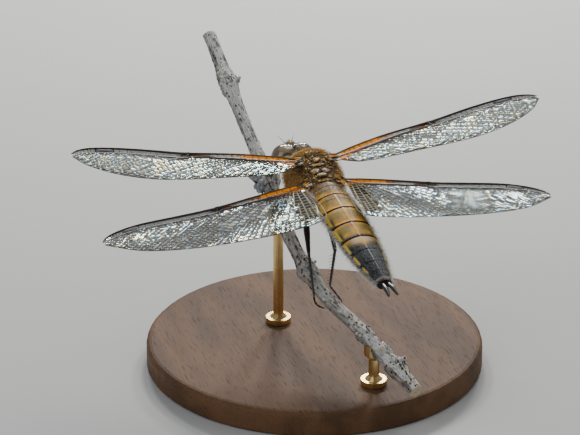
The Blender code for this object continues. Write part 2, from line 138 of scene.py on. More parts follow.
class Finish:
    """One material, and the nodes that mix it."""

    def __init__(self, name):
        self.material = bpy.data.materials.new(name)
        self.material.use_nodes = True
        self.tree = self.material.node_tree
        self.tree.nodes.clear()

    def node(self, kind, settings=None, inputs=None, output=0):
        """Add a node: its settings first, then the values or links of its sockets."""
        made = self.tree.nodes.new(kind)
        for key, value in (settings or {}).items():
            setattr(made, key, value)
        for key, value in (inputs or {}).items():
            if isinstance(value, Value):
                self.tree.links.new(value.socket, made.inputs[key])
            elif isinstance(value, tuple) and made.inputs[key].type == "RGBA":
                made.inputs[key].default_value = (*value, 1)
            else:
                made.inputs[key].default_value = value
        return Value(self, made.outputs[output])

    def maths(self, operation, *operands):
        return self.node("ShaderNodeMath", {"operation": operation}, dict(enumerate(operands)))

    def place(self):
        """Where on the object a point lies, in metres."""
        return self.node("ShaderNodeTexCoord", output="Object")

    def attribute(self, name, output="Fac"):
        """A number or colour that was written on the mesh."""
        return self.node("ShaderNodeAttribute", {"attribute_name": name}, output=output)

    def stretch(self, vector, scale):
        """The place, stretched along each axis."""
        return self.node("ShaderNodeMapping", {"vector_type": "POINT"},
                         {"Vector": vector, "Scale": scale})

    def cloud(self, vector, size, detail=3.0, roughness=0.5):
        """Soft noise with lumps about that many millimetres across."""
        return self.node("ShaderNodeTexNoise", None, {
            "Vector": vector, "Scale": 1 / (size * MM), "Detail": detail, "Roughness": roughness})

    def shaken(self, vector, size, reach):
        """The place, moved about by soft noise, so that straight borders become uneven."""
        noise_at = self.node("ShaderNodeTexNoise", None,
                             {"Vector": vector, "Scale": 1 / (size * MM)}, output="Color")
        centred = self.node("ShaderNodeVectorMath", {"operation": "SUBTRACT"},
                            {0: noise_at, 1: (0.5, 0.5, 0.5)})
        moved_by = self.node("ShaderNodeVectorMath", {"operation": "SCALE"},
                             {0: centred, "Scale": reach * MM})
        return self.node("ShaderNodeVectorMath", {"operation": "ADD"}, {0: vector, 1: moved_by})

    def cells(self, vector, size, feature="F1", randomness=1.0):
        """Distance in a field of cells about that many millimetres across."""
        return self.node("ShaderNodeTexVoronoi", {"feature": feature}, {
            "Vector": vector, "Scale": 1 / (size * MM), "Randomness": randomness})

    def step(self, value, low, high):
        """0 below low and 1 above high, with a soft step; low above high turns it round."""
        flip = low > high
        return self.node("ShaderNodeMapRange", {"interpolation_type": "SMOOTHSTEP"}, {
            "Value": value, "From Min": min(low, high), "From Max": max(low, high),
            "To Min": 1.0 if flip else 0.0, "To Max": 0.0 if flip else 1.0})

    def mix(self, factor, first, second):
        """Two colours, mixed by a factor."""
        return self.node("ShaderNodeMix", {"data_type": "RGBA"},
                         {0: factor, 6: first, 7: second}, output=2)

    def split(self, vector):
        """The three parts of a vector."""
        first = self.node("ShaderNodeSeparateXYZ", None, {"Vector": vector})
        return [Value(self, s) for s in first.socket.node.outputs]

    def bump(self, height, depth, strength=1.0):
        """A normal that rises and falls with the height, by that many millimetres."""
        return self.node("ShaderNodeBump", None, {
            "Height": height, "Distance": depth * MM, "Strength": strength})

    def paint(self, mask, tone):
        """Lay another colour over the colour so far, where the mask is."""
        self.colour = self.mix(mask, self.colour, tone)

    def shade(self, roughness, normal=None, **inputs):
        """The surface shader at the end. Socket names are written with underscores."""
        named = {key.replace("_", " "): value for key, value in inputs.items()}
        named |= {"Base Color": self.colour, "Roughness": roughness}
        if normal:
            named["Normal"] = normal
        surface = self.node("ShaderNodeBsdfPrincipled", None, named, output="BSDF")
        end = self.tree.nodes.new("ShaderNodeOutputMaterial")
        self.tree.links.new(surface.socket, end.inputs["Surface"])
        return self.material


print("a finish can use:", ", ".join(name for name in vars(Finish) if not name.startswith("_")))

# %% [markdown]
# ## Finishing a piece
# Every piece is drawn in millimetres with bmesh operators. Finishing it turns it into metres in
# place, shades it smooth with sharp edges kept, and hangs it on the model's one body. Modifiers
# could wait on the object, but these meshes are final, so nothing is left to apply.

# %% Finish a piece
def moved(bm, matrix):
    """Put everything in the bmesh through a matrix."""
    bmesh.ops.transform(bm, matrix=matrix, verts=bm.verts)
    return bm


def to_mesh(name, bm):
    """Turn a bmesh into a mesh and let the bmesh go."""
    mesh = bpy.data.meshes.new(name)
    bm.to_mesh(mesh)
    bm.free()
    return mesh


def new_object(name, data):
    """An object in the scene, of that mesh, lamp or camera."""
    made = bpy.data.objects.new(name, data)
    bpy.context.scene.collection.objects.link(made)
    return made


def add_piece(name, bm, material, slot, *nodes, sharp=50):
    """Turn a bmesh drawn in millimetres into a piece in metres on the insect's body."""
    bmesh.ops.scale(bm, vec=(MM, MM, MM), verts=bm.verts)
    return hang(name, to_mesh(name, bm), material, slot, *nodes, sharp=sharp)


def hang(name, mesh, material, slot, *nodes, sharp=50):
    """Make an object of a finished mesh, and hide the solids that it stands in for."""
    mesh.shade_smooth()
    mesh.set_sharp_from_angle(angle=math.radians(sharp))
    piece = new_object(name, mesh)
    mesh.materials.append(material)
    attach(piece, "root")
    if nodes:
        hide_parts(*nodes)
    print(f"{name}: {sum(len(p.vertices) - 2 for p in mesh.polygons)} triangles")
    return piece


def add_to(bm, *others):
    """Copy other bmeshes into this one."""
    for other in others:
        spare = to_mesh("spare", other)
        bm.from_mesh(spare)
        bpy.data.meshes.remove(spare)
    return bm


# %% [markdown]
# ## Shapes used again and again
# A drum is a closed cylinder with bands. Bent along a path, with a radius at each station, it
# becomes a leg, a vein, a feeler or the twig. An ellipsoid is a sphere scaled along its axes.

# %% Drum, tube and ellipsoid
def drum(around, along):
    """A closed unit drum on Z, with `along` bands of `around` faces."""
    bm = bmesh.new()
    bmesh.ops.create_cone(bm, cap_ends=True, segments=around, radius1=1, radius2=1, depth=1)
    uprights = [e for e in bm.edges if abs(e.verts[0].co.z - e.verts[1].co.z) > 0.5]
    if along > 1:
        bmesh.ops.subdivide_edges(bm, edges=uprights, cuts=along - 1)
    return bm


def path_frames(path):
    """Two cross axes at each point of a path, turning as little as they can."""
    frames = []
    side = None
    for i in range(len(path)):
        ahead = (path[min(i + 1, len(path) - 1)] - path[max(i - 1, 0)]).normalized()
        if side is None:
            side = ahead.cross(Vector((0, 0, 1)))
            if side.length < 0.1:
                side = ahead.cross(Vector((1, 0, 0)))
        side = (side - ahead * side.dot(ahead)).normalized()
        frames.append((side, side.cross(ahead)))
    return frames


def tube(path, radii, around=8, flat=1.0):
    """A closed tube through the points; flat squeezes it along the up axis."""
    path = [Vector(p) for p in path]
    bands = len(path) - 1
    frames = path_frames(path)
    bm = drum(around, bands)
    for vert in bm.verts:
        k = round((vert.co.z + 0.5) * bands)
        side, top = frames[k]
        x, y = vert.co.x * radii[k], vert.co.y * radii[k]
        vert.co = path[k] + side * x + top * (y * flat)
    bmesh.ops.recalc_face_normals(bm, faces=bm.faces)
    return bm


def ellipsoid(centre, radii, segments=32, rings=20):
    """A closed ellipsoid with its poles up and down."""
    bm = bmesh.new()
    bmesh.ops.create_uvsphere(bm, u_segments=segments, v_segments=rings, radius=1)
    bmesh.ops.scale(bm, vec=radii, verts=bm.verts)
    bmesh.ops.translate(bm, vec=centre, verts=bm.verts)
    return bm


def spread(points, count):
    """A smooth run of that many points through the given ones, evenly spaced."""
    rows = [(i / (len(points) - 1), *p) for i, p in enumerate(points)]
    return [smooth(rows, i / (count - 1)) for i in range(count)]


trial = tube([(0, 0, 0), (0, 0, 1)], [1, 1])
print("a plain tube has", len(trial.faces), "faces")
trial.free()

# %% [markdown]
# ## The room
# The insect is shown on a plain pale floor and seen from behind and above. One large lamp would
# turn each wing into a single bright sheet. So three small strong lamps stand beyond the insect,
# where the wings mirror them: each wing cell then glints at its own place, and the hair is rimmed.
# A big dim lamp on the near side and one above fill the shadows, and the world's pale light does
# the rest.

# %% Floor and lamps
FLOOR_HALF = 3.0                # metres from the middle of the floor to its edge
FLOOR_DROP = 0.00002            # how far it lies under the stand, in metres
WORLD_COLOUR, WORLD_STRENGTH = (0.93, 0.96, 1, 1), 0.3
LAMPS = {  # direction from the thorax, distance, side of the square, brightness and colour
    "key_lamp": ((0.29, 0.8, 0.55), 420, 54, 78, (1.0, 0.97, 0.92)),
    "left_glint": ((0.061, 0.831, 0.553), 420, 50, 64, (0.97, 0.98, 1.0)),
    "right_glint": ((0.49, 0.75, 0.445), 420, 50, 64, (0.97, 0.98, 1.0)),
    "near_fill": ((-0.75, -0.55, 0.75), 520, 360, 1.4, (0.92, 0.96, 1.0)),
    "top_fill": ((0.45, 0.35, 1.0), 500, 200, 4.2, (1.0, 0.98, 0.95)),
}


def build_room():
    """The floor and the pale world."""
    floor = Finish("studio_floor")
    haze = floor.cloud(floor.place(), 60, 2)
    floor.colour = floor.mix(haze, (0.56, 0.56, 0.545), (0.6, 0.6, 0.585))
    floor.shade(0.85)
    bm = bmesh.new()
    bmesh.ops.create_grid(bm, x_segments=1, y_segments=1, size=FLOOR_HALF)
    bmesh.ops.translate(bm, vec=(0, 0, -FLOOR_DROP), verts=bm.verts)
    ground = new_object("studio_floor", to_mesh("studio_floor", bm))
    ground.data.materials.append(floor.material)
    world = bpy.data.worlds.new("pale_room")
    world.use_nodes = True
    light = world.node_tree.nodes["Background"].inputs
    light["Color"].default_value = WORLD_COLOUR
    light["Strength"].default_value = WORLD_STRENGTH
    bpy.context.scene.world = world


def lamp(name, direction, distance, size, radiance, colour):
    """A square lamp that faces the thorax, of that brightness, in millimetres."""
    data = bpy.data.lights.new(name, "AREA")
    data.size = size * MM
    data.energy = radiance * math.pi * (size * MM) ** 2
    data.color = colour
    stand = new_object(name, data)
    away = Vector(direction).normalized()
    stand.location = (BODY_CENTRE + away * distance) * MM
    stand.rotation_euler = away.to_track_quat("Z", "Y").to_euler()


build_room()
for name, facts in LAMPS.items():
    lamp(name, *facts)
print("lamps:", ", ".join(LAMPS))

# %% [markdown]
# ## The camera
# A long lens far away keeps the wings' proportions honest. The camera stands at an azimuth and
# an elevation about the thorax, and aims a little beside it, so that the whole insect fills the
# frame. Turning the camera does this, and its shift stays at nought.

# %% Camera
AZIMUTH, ELEVATION, DISTANCE = math.radians(-18.3), math.radians(22.4), 450
AIM_LEFT, AIM_BELOW = 4.79, 5.96
FOCAL_LENGTH, SENSOR, NEAREST = 166.5, 36, 0.01
camera_right = Vector((math.cos(AZIMUTH), math.sin(AZIMUTH), 0))
camera_back = Vector((math.sin(AZIMUTH) * math.cos(ELEVATION),
                      -math.cos(AZIMUTH) * math.cos(ELEVATION), math.sin(ELEVATION)))
camera_up = camera_back.cross(camera_right)
seat = BODY_CENTRE + camera_back * DISTANCE
aim = BODY_CENTRE - camera_right * AIM_LEFT - camera_up * AIM_BELOW
camera = new_object("studio_camera", bpy.data.cameras.new("studio_camera"))
camera.data.lens, camera.data.sensor_width = FOCAL_LENGTH, SENSOR
camera.data.clip_start = NEAREST
camera.location = seat * MM
camera.rotation_euler = (seat - aim).to_track_quat("Z", "Y").to_euler()
bpy.context.scene.camera = camera
print("camera is", round((seat - aim).length), "mm from its aim")

# %% [markdown]
# ## Wings: drawing flat
# A real wing is a net of stiff veins with a clear skin in each cell. The costa, subcosta and
# radius run close together along the front edge, joined by short cross veins. Behind the radius a
# fan of veins curves out to the rear edge, and rows of small cells fill the strips between them.
# The net could be one Voronoi texture, but then it would have no thickness and no glint of its
# own in each cell. Here each strip is a grid of cells drawn flat, and the whole wing is bent up
# to the place of its solid at the end. The bending also lowers the subcosta a little, because the
# front of a real wing is pleated like a fold of stiff paper.

# %% Outlines of the wings
WINGS = {
    "forewing": dict(
        hinge=(2.6, 2.6, 3.2), length=38.5, sweep=(11, -1.5), dihedral=(4.5, 2.3),
        twist=(-7.1, -1.7), washout=4, bend=(0.032, -0.018),
        lead=((0, 0.03, 0), (0.12, 0.12, 0.55), (0.28, 0.28, 0.85), (0.51, 0.51, 0.2),
              (0.7, 0.7, 0.15), (0.83, 0.83, -0.25), (0.91, 0.925, -1.05),
              (0.97, 0.98, -2.3), (1, 0.998, -3.3)),
        trail=((0, 0.03, -2.6), (0.1, 0.1, -5), (0.35, 0.35, -7.2), (0.62, 0.62, -8.9),
               (0.8, 0.8, -8.3), (0.93, 0.93, -6.4), (1, 0.994, -4.2)),
        radius_gap=((0, 1.25), (0.2, 1.75), (0.48, 1.25), (0.8, 1.15), (0.92, 0.95), (1, 0.4)),
        nodus=0.49, spot=(0.815, 0.885), antenodal=15, postnodal=12,
        ribs=((0, 0), (0.045, 0.1), (0.07, 0.185), (0.09, 0.265), (0.115, 0.34),
              (0.14, 0.41), (0.165, 0.475), (0.19, 0.535), (0.22, 0.59), (0.26, 0.642),
              (0.32, 0.69), (0.39, 0.735), (0.46, 0.778), (0.53, 0.818), (0.6, 0.856),
              (0.67, 0.891), (0.74, 0.924), (0.81, 0.953), (0.88, 0.977), (0.93, 0.988),
              (0.97, 0.995), (1, 1)),
        heavy=(2, 4, 7, 9, 12), rear_patch=0,
    ),
    "hindwing": dict(
        hinge=(3.1, -2.1, 1.6), length=35.8, sweep=(-4, -3), dihedral=(-9.2, 2.2),
        twist=(-8.6, 0), washout=1, bend=(0.073, -0.03),
        lead=((0, 0.02, 0), (0.12, 0.12, 0.4), (0.25, 0.25, 0.5), (0.45, 0.45, 0.25),
              (0.7, 0.7, 0.35), (0.81, 0.82, 0.05), (0.91, 0.925, -1.2), (0.97, 0.98, -2.7),
              (1, 0.998, -3.9)),
        trail=((0, 0, -8.5), (0.03, 0.005, -12), (0.08, 0.045, -13.6),
               (0.2, 0.2, -13.6), (0.45, 0.45, -12.3), (0.65, 0.65, -10.9), (0.85, 0.85, -8.6),
               (1, 0.994, -4.9)),
        radius_gap=((0, 1.25), (0.15, 1.9), (0.42, 1.3), (0.8, 1.15), (0.92, 0.95), (1, 0.4)),
        nodus=0.43, spot=(0.8, 0.875), antenodal=10, postnodal=12,
        ribs=((0, 0), (0.02, 0.055), (0.04, 0.115), (0.055, 0.175), (0.07, 0.235),
              (0.09, 0.295), (0.11, 0.355), (0.13, 0.412), (0.155, 0.468), (0.18, 0.522),
              (0.21, 0.574), (0.25, 0.624), (0.31, 0.672), (0.38, 0.718), (0.45, 0.762),
              (0.52, 0.803), (0.59, 0.842), (0.66, 0.879), (0.73, 0.914), (0.8, 0.947),
              (0.88, 0.976), (0.93, 0.988), (0.97, 0.995), (1, 1)),
        heavy=(3, 6, 9, 11, 14), rear_patch=1,
    ),
}
WING_BEND_START = 0.15          # share of the span where the wing starts to curve
CELL = 0.86                     # usual size of a cell
RIB_CURVE = 1.5                 # how long a rib follows the radius before it turns back
SUBCOSTA_SHARE = 0.52           # where the subcosta runs between the front edge and the radius


class FlatWing:
    """The flat drawing of one wing: x out along the span, y forward, both in millimetres."""

    def __init__(self, wing):
        self.wing = wing
        self.length = wing["length"]

    def front(self, t):
        u, v = smooth(self.wing["lead"], t)
        return Vector((u * self.length, v))

    def rear(self, t):
        u, v = smooth(self.wing["trail"], t)
        return Vector((u * self.length, v))

    def radius(self, t):
        (gap,) = smooth(self.wing["radius_gap"], t)
        ahead = self.front(min(1, t + 0.01)) - self.front(max(0, t - 0.01))
        back = Vector((ahead.y, -ahead.x)).normalized()
        lean = ease(0.85, 1.0, t)
        return self.front(t) + Vector((0, -1)).lerp(back, lean) * gap

    def subcosta(self, t):
        nodus = self.wing["nodus"]
        share = SUBCOSTA_SHARE * (1 - ease(nodus * 0.75, nodus, t))
        return self.front(t).lerp(self.radius(t), share)

    def field(self, t, depth):
        """A point of the field behind the radius, by its place along and its depth."""
        return self.radius(t).lerp(self.rear(t), depth)

    def rib(self, number, share):
        """A point of one rib, share 0 on the radius and 1 on the rear edge."""
        start, end = self.wing["ribs"][number]
        return self.field(start + (end - start) * share, share ** RIB_CURVE)


def sided(pair, side):
    """A (mean, bias) pair's value on one side."""
    return pair[0] + side * pair[1]


def wing_frame(wing, side):
    """The wing's place in the row's frame."""
    x, y, z = wing["hinge"]
    twist, dihedral, sweep = (sided(wing[k], side) for k in ("twist", "dihedral", "sweep"))
    turn = Euler([math.radians(a) for a in (twist, -side * dihedral, side * sweep)])
    return BODY @ Matrix.Translation((side * x, y, z)) @ turn.to_matrix().to_4x4()


# %% Bend a wing into place
PLEAT = 0.24                    # how far the subcosta lies below its neighbours


def trace(curve, count=120):
    """Evenly spaced points of a curve, as an array."""
    return np.array([tuple(curve(i / count)) for i in range(count + 1)])


def pleat(flat):
    """How far a flat point is lowered: the front veins lie at different heights, like a fold."""
    rows = [trace(curve) for curve in (flat.front, flat.subcosta, flat.radius)]
    nodus = flat.front(flat.wing["nodus"]).x

    def drop(x, y):
        front, middle, back = (float(np.interp(x, row[:, 0], row[:, 1])) for row in rows)
        outer = ease(nodus - 0.8, nodus + 0.8, x) * (1 - ease(0.93, 1.0, x / flat.length))
        inner = ease(0.5, 3.0, x) * (1 - ease(nodus - 0.8, nodus + 0.8, x))
        heights = (0, -PLEAT * inner - 0.5 * PLEAT * outer, -PLEAT * outer, 0)
        return float(np.interp(-y, (-front, -middle + 1e-4, -back + 2e-4, -back + 1.6), heights))
    return drop


def wing_bender(wing, side):
    """A function that takes a point of the flat drawing to its place in space."""
    place = wing_frame(wing, side)
    length = wing["length"]
    bend = sided(wing["bend"], side)
    drop = pleat(FlatWing(wing))

    def bent(point):
        span, chord, lift = point.x / length, point.y, point.z + drop(point.x, point.y)
        out = max(0, span - WING_BEND_START)
        tilt = math.radians(wing["washout"]) * span
        slope = 2 * bend * out
        return place @ Vector((
            side * (span * length - lift * slope),
            chord * math.cos(tilt) - lift * math.sin(tilt),
            bend * out * out * length + chord * math.sin(tilt) + lift * math.cos(tilt),
        ))
    return bent


def bend_up(bm, wing, side):
    """Take a flat drawing to the wing's place in space."""
    bent = wing_bender(wing, side)
    for vert in bm.verts:
        vert.co = bent(vert.co)
    if side < 0:
        bmesh.ops.reverse_faces(bm, faces=bm.faces)
    return bm


for kind, wing in WINGS.items():
    print(kind, "is", wing["length"], "mm long, with", len(wing["ribs"]), "ribs")

# %% [markdown]
# ## Wings: cells
# Each strip between two veins is cut into runs with the same number of rows. A run is a grid whose
# upright edges are dissolved in turn, like bricks, and whose inner lines are bent to a zigzag, so
# the bricks become the five- and six-sided cells of a real wing. Crossings are placed square to
# the strip, turning to follow the rear edge where the strip ends.

# %% Points facing across a strip
STATIONS = 90                   # steps along a strip
NARROWEST = 0.28                # a strip starts to hold cells at this width
ZIGZAG = 0.09                   # how far a cell's corners leave the row's line, in rows


def square_stations(upper, lower, count=STATIONS):
    """Pairs of points facing each other across a strip, from its start to its end."""
    top, low = trace(upper, count), trace(lower, count)
    middle = (top + low) / 2
    ahead = np.gradient(middle, axis=0)
    ahead /= np.linalg.norm(ahead, axis=1)[:, None] + 1e-9
    pairs = []
    for i in range(count + 1):
        square = 1 - ease(0.78, 1.0, i / count)
        square *= ease(0.0, 0.12, i / count)
        ends = []
        for line in (top, low):
            along = (line - middle[i]) @ ahead[i]
            near = np.clip(np.searchsorted(along, 0.0), 1, count)
            gap = along[near] - along[near - 1]
            at = near - 1 + np.clip(-along[near - 1] / (gap if abs(gap) > 1e-9 else 1), 0, 1)
            at = i + (at - i) * square
            low_at = min(int(at), count - 1)
            ends.append(line[low_at] + (line[low_at + 1] - line[low_at]) * (at - low_at))
        pairs.append(ends)
    lines = [np.array(line) for line in zip(*pairs)]
    for line in lines:
        line[:, 0] = np.maximum.accumulate(line[:, 0])      # never back towards the hinge
    return lines


print("cells are about", CELL, "mm across")


# %% Strips of cells
def cell_run(bm, top, low, places, rows, shake):
    """One grid of cells between two lines of facing points, at the given places along."""
    brick = rows > 1
    columns = (len(places) - 1) * (2 if brick else 1)
    made = bmesh.ops.create_grid(bm, x_segments=columns, y_segments=rows, size=1)
    spots = {}
    for vert in made["verts"]:
        column = round((vert.co.x + 1) / 2 * columns)
        row = round((1 - vert.co.y) / 2 * rows)
        spots[vert] = (column, row)
        at = column / (2 if brick else 1)
        step = min(int(at), len(places) - 2)
        place = places[step] + (places[step + 1] - places[step]) * (at - step)
        k = min(int(place), len(top) - 2)
        above = top[k] + (top[k + 1] - top[k]) * (place - k)
        below = low[k] + (low[k + 1] - low[k]) * (place - k)
        depth = row / rows
        inside = 0 < row < rows
        if inside:
            depth += (ZIGZAG if (column + row) % 2 else -ZIGZAG) / rows
        point = above + (below - above) * depth
        if inside:
            point = point + np.array((noise.noise_vector(Vector((*point, shake)) * 1.7) * 0.07).xy)
        vert.co = (*point, 0)
    if brick:
        spare = []
        for edge in dict.fromkeys(e for v in made["verts"] for e in v.link_edges):
            (c1, r1), (c2, r2) = spots[edge.verts[0]], spots[edge.verts[1]]
            if c1 == c2 and 0 < c1 < columns and (c1 + min(r1, r2)) % 2:
                spare.append(edge)
        bmesh.ops.dissolve_edges(bm, edges=spare, use_verts=False)


def fill_strip(bm, upper, lower, shake):
    """Fill the strip between two curves with cells."""
    top, low = square_stations(upper, lower)
    count = len(top) - 1
    steps = range(count + 1)
    widths = np.linalg.norm(top - low, axis=1)
    middle = (top + low) / 2
    length = np.concatenate([[0], np.cumsum(np.linalg.norm(np.diff(middle, axis=0), axis=1))])
    at, stop = float(np.argmax(widths > NARROWEST)), float(count)
    runs, places, rows_now = [], [at], None
    while at < stop - 1e-6:
        width = float(np.interp(at, steps, widths))
        rows = max(1, round(width / (CELL * 0.98)))
        if rows_now is None:
            rows_now = rows
        if rows != rows_now and len(places) > 1:
            runs.append((places, rows_now))
            places = [at]
            rows_now = rows
        uneven = 0.93 + 0.14 * ((int(at * 7 + shake * 13) % 10) / 10)
        pace = min(CELL * 1.12, max(CELL * 0.62, width / rows * 1.1)) * uneven
        here = float(np.interp(at, steps, length)) + pace
        after = float(np.interp(here, length, steps))
        if after > stop or here > length[-1] - pace * 0.45 or after - at < 1e-3:
            after = stop
        places.append(after)
        at = after
    runs.append((places, rows_now))
    for places, rows in runs:
        if len(places) > 1:
            cell_run(bm, top, low, places, rows, shake)


# %% All the cells of a wing
def cross_veins(bm, upper, lower, start, end, count):
    """A strip cut by evenly spaced short cross veins."""
    made = bmesh.ops.create_grid(bm, x_segments=count, y_segments=1, size=1)
    for vert in made["verts"]:
        column = round((vert.co.x + 1) / 2 * count)
        t = start + (end - start) * column / count
        if 0 < column < count:
            t += 0.12 * (end - start) / count * math.sin(column * 2.4 + count)
        point = upper(t) if vert.co.y > 0 else lower(t + 0.002 * math.sin(column * 1.7))
        vert.co = (point.x, point.y, 0)


def draw_cells(flat):
    """All the cells of one wing, flat."""
    wing = flat.wing
    bm = bmesh.new()
    nodus = wing["nodus"]
    inner, outer = wing["spot"]
    cross_veins(bm, flat.front, flat.subcosta, 0.03, nodus, wing["antenodal"])
    cross_veins(bm, flat.subcosta, flat.radius, 0.03, nodus, wing["antenodal"] - 2)
    cross_veins(bm, flat.front, flat.radius, nodus, inner, wing["postnodal"])
    cross_veins(bm, flat.front, flat.radius, inner, outer, 1)
    cross_veins(bm, flat.front, flat.radius, outer, 0.995, 7)
    for number in range(len(wing["ribs"]) - 1):
        fill_strip(bm, partial(flat.rib, number + 1), partial(flat.rib, number), number * 3.1)
    print("a wing net of", len(bm.faces), "cells")
    return bm


# %% [markdown]
# ## Wings: colour written on the mesh
# The four dark spots at the nodes, the amber base of the front edge, the black patch and milky
# margin at the root of the hind wing all follow the wing, not the room. So they are written on the
# flat drawing as numbers at each corner, and the finish reads them as attributes.

# %% Marks of the wings
def wing_marks(flat):
    """A function of a flat point that gives its amber, dark and milky shares."""
    edge = trace(flat.front)
    nodus = float(flat.front(flat.wing["nodus"]).x)
    hind = flat.wing["rear_patch"]

    def marks(x, y):
        back = float(np.interp(x, edge[:, 0], edge[:, 1])) - y
        near_front = 1 - ease(1.7, 2.7, back)
        strip = ease(0.65, 0.95, back) * (1 - ease(1.75, 2.3, back))
        amber = max(
            (1 - ease(4.6, 6.2, x)) * strip,
            0.7 * (1 - ease(nodus * 0.4, nodus * 0.8, x)) * (1 - ease(0.9, 1.7, back)),
            0.3 * bell(x, nodus - 1.2, 2.2) * near_front,
            0.5 * (1 - ease(1.8, 3.2, x)) * (1 - ease(3.0, 4.5, back)))
        dark = bell(x, nodus + 0.2, 1.1) * (1 - ease(1.3, 2.1, back))
        fan = 1 - ease(3.0, 4.1, x - 0.1 * (back - 4) + 0.3 * math.sin(back * 1.9))
        fan *= hind * ease(2.0, 2.7, back) * (1 - ease(11.5, 13.0, back)) * ease(0.1, 0.5, x)
        milky = hind * (1 - ease(0.35, 0.9, x - 0.12 * max(0, back - 10))) * ease(4.5, 7.0, back)
        return amber, max(dark, fan * (1 - milky)), fan, milky
    return marks


def write_marks(bm, marks):
    """Write the marks on every corner of a flat drawing."""
    layers = [bm.verts.layers.float.new(name) for name in ("amber", "dark", "fan", "milky")]
    for vert in bm.verts:
        for layer, value in zip(layers, marks(vert.co.x, vert.co.y)):
            vert[layer] = value
    return bm


print("marks five millimetres out on a hind wing:",
      [round(v, 2) for v in wing_marks(FlatWing(WINGS["hindwing"]))(5.0, -1.0)])

# %% [markdown]
# ## Wings: net, skin and spots
# Insetting each cell leaves a rim of vein and a clear middle. The rims become the net: its middle
# lines are lifted above and below, so each vein is a low rounded ridge. The middles become the
# skin: each is poked up and down into a lens, so that every cell mirrors the lamps at its own
# place. Most lenses are shallow and the rest are rounder, so only some of the cells flash. Tubes
# are laid over the long veins, and the dark cell near the tip, the pterostigma, is a small thick
# plate of its own.

# %% Net and skin
VEIN_HALF = 0.06                # half the width of a cross vein
NET_RISE = 0.055                # how far its ridge stands up
SMALLEST_CELL = 0.07            # square millimetres; anything smaller is filled with vein
SPOT_CELL = 1.4                 # square millimetres; the spot's cell is larger than this
SHALLOW_SHARE = 0.62            # how many of the lenses are shallow
SHALLOW_LENS, LENS_SPREAD = 0.03, 0.022        # rise of a lens, by its cell's size
ROUND_LENS, FRONT_LENS = 0.11, 0.015


def corners_of(geometry):
    """Only the corners among the parts that an operator gave back."""
    return [g for g in geometry if isinstance(g, bmesh.types.BMVert)]


def both_faces(bm):
    """Fold a flat sheet's lifted copy under it, so the sheet becomes a closed thin lens."""
    double = bmesh.ops.duplicate(bm, geom=bm.verts[:] + bm.edges[:] + bm.faces[:])["geom"]
    below = [g for g in double if isinstance(g, bmesh.types.BMFace)]
    for vert in corners_of(double):
        vert.co.z = -vert.co.z
    bmesh.ops.reverse_faces(bm, faces=below)
    bmesh.ops.remove_doubles(bm, verts=bm.verts, dist=0.0005)
    return bm


def split_cells(flat):
    """The flat net of veins and the flat skin between them, each closed."""
    net = draw_cells(flat)
    chosen = net.faces.layers.int.new("middle")
    net.normal_update()
    for face in net.faces:
        if face.normal.z < 0:
            face.normal_flip()
    wide = [f for f in net.faces if f.calc_area() > SMALLEST_CELL]
    bmesh.ops.inset_individual(net, faces=wide, thickness=VEIN_HALF, use_even_offset=True)
    for face in wide:
        face[chosen] = 1
    skin = net.copy()
    keep = skin.faces.layers.int["middle"]
    bmesh.ops.delete(skin, geom=[f for f in skin.faces if not f[keep]], context="FACES")
    border = {v for e in net.edges if e.is_boundary for v in e.verts}
    rim = {v for f in net.faces if f[chosen] for v in f.verts}
    bmesh.ops.delete(net, geom=[f for f in net.faces if f[chosen]], context="FACES")
    edges = [e for e in net.edges if e.is_boundary and all(v in border for v in e.verts)]
    walls = bmesh.ops.extrude_edge_only(net, edges=edges)["geom"]
    foot = set(corners_of(walls))
    for vert in net.verts:
        vert.co.z = 0 if vert in rim or vert in foot else NET_RISE
    return net, skin


def dome_cells(skin, flat, seed):
    """Poke every cell of the skin into a shallow lens with its top a little off its middle."""
    chance = random.Random(seed)
    nodus = flat.front(flat.wing["nodus"]).x
    spots = [flat.front(t).x for t in flat.wing["spot"]]
    spots = [f for f in skin.faces if spots[0] < f.calc_center_median().x < spots[1]
             and f.calc_area() > SPOT_CELL and len(f.verts) == 4
             and f.calc_center_median().y > -1.2]
    bmesh.ops.delete(skin, geom=spots, context="FACES")
    sizes = [math.sqrt(f.calc_area()) for f in skin.faces]
    tops = bmesh.ops.poke(skin, faces=skin.faces[:], center_mode="MEAN")["verts"]
    spokes = dict.fromkeys(e for top in tops for e in top.link_edges)   # kept in order
    for top, size in zip(tops, sizes):
        back = flat.front(min(1, top.co.x / flat.length)).y - top.co.y
        plain = top.co.x > nodus and back < 1.0
        shallow = chance.random() < SHALLOW_SHARE
        height = SHALLOW_LENS + LENS_SPREAD * chance.random() if shallow else ROUND_LENS
        top.co.z = size * (FRONT_LENS if plain else height)
        top.co.x += size * 0.12 * (chance.random() - 0.5)
        top.co.y += size * 0.12 * (chance.random() - 0.5)
    halves = bmesh.ops.subdivide_edges(skin, edges=list(spokes), cuts=1)["geom_inner"]
    for vert in corners_of(halves):
        vert.co.z *= 1.5
    return skin


# %% Long veins and the dark spot
def strand(points, radius, last, around=6):
    """A vein: a thin closed tube that tapers to its end."""
    path = [Vector((p.x, p.y, 0)) for p in points]
    radii = [radius + (last - radius) * i / (len(path) - 1) for i in range(len(path))]
    return tube(path, radii, around, 0.85)


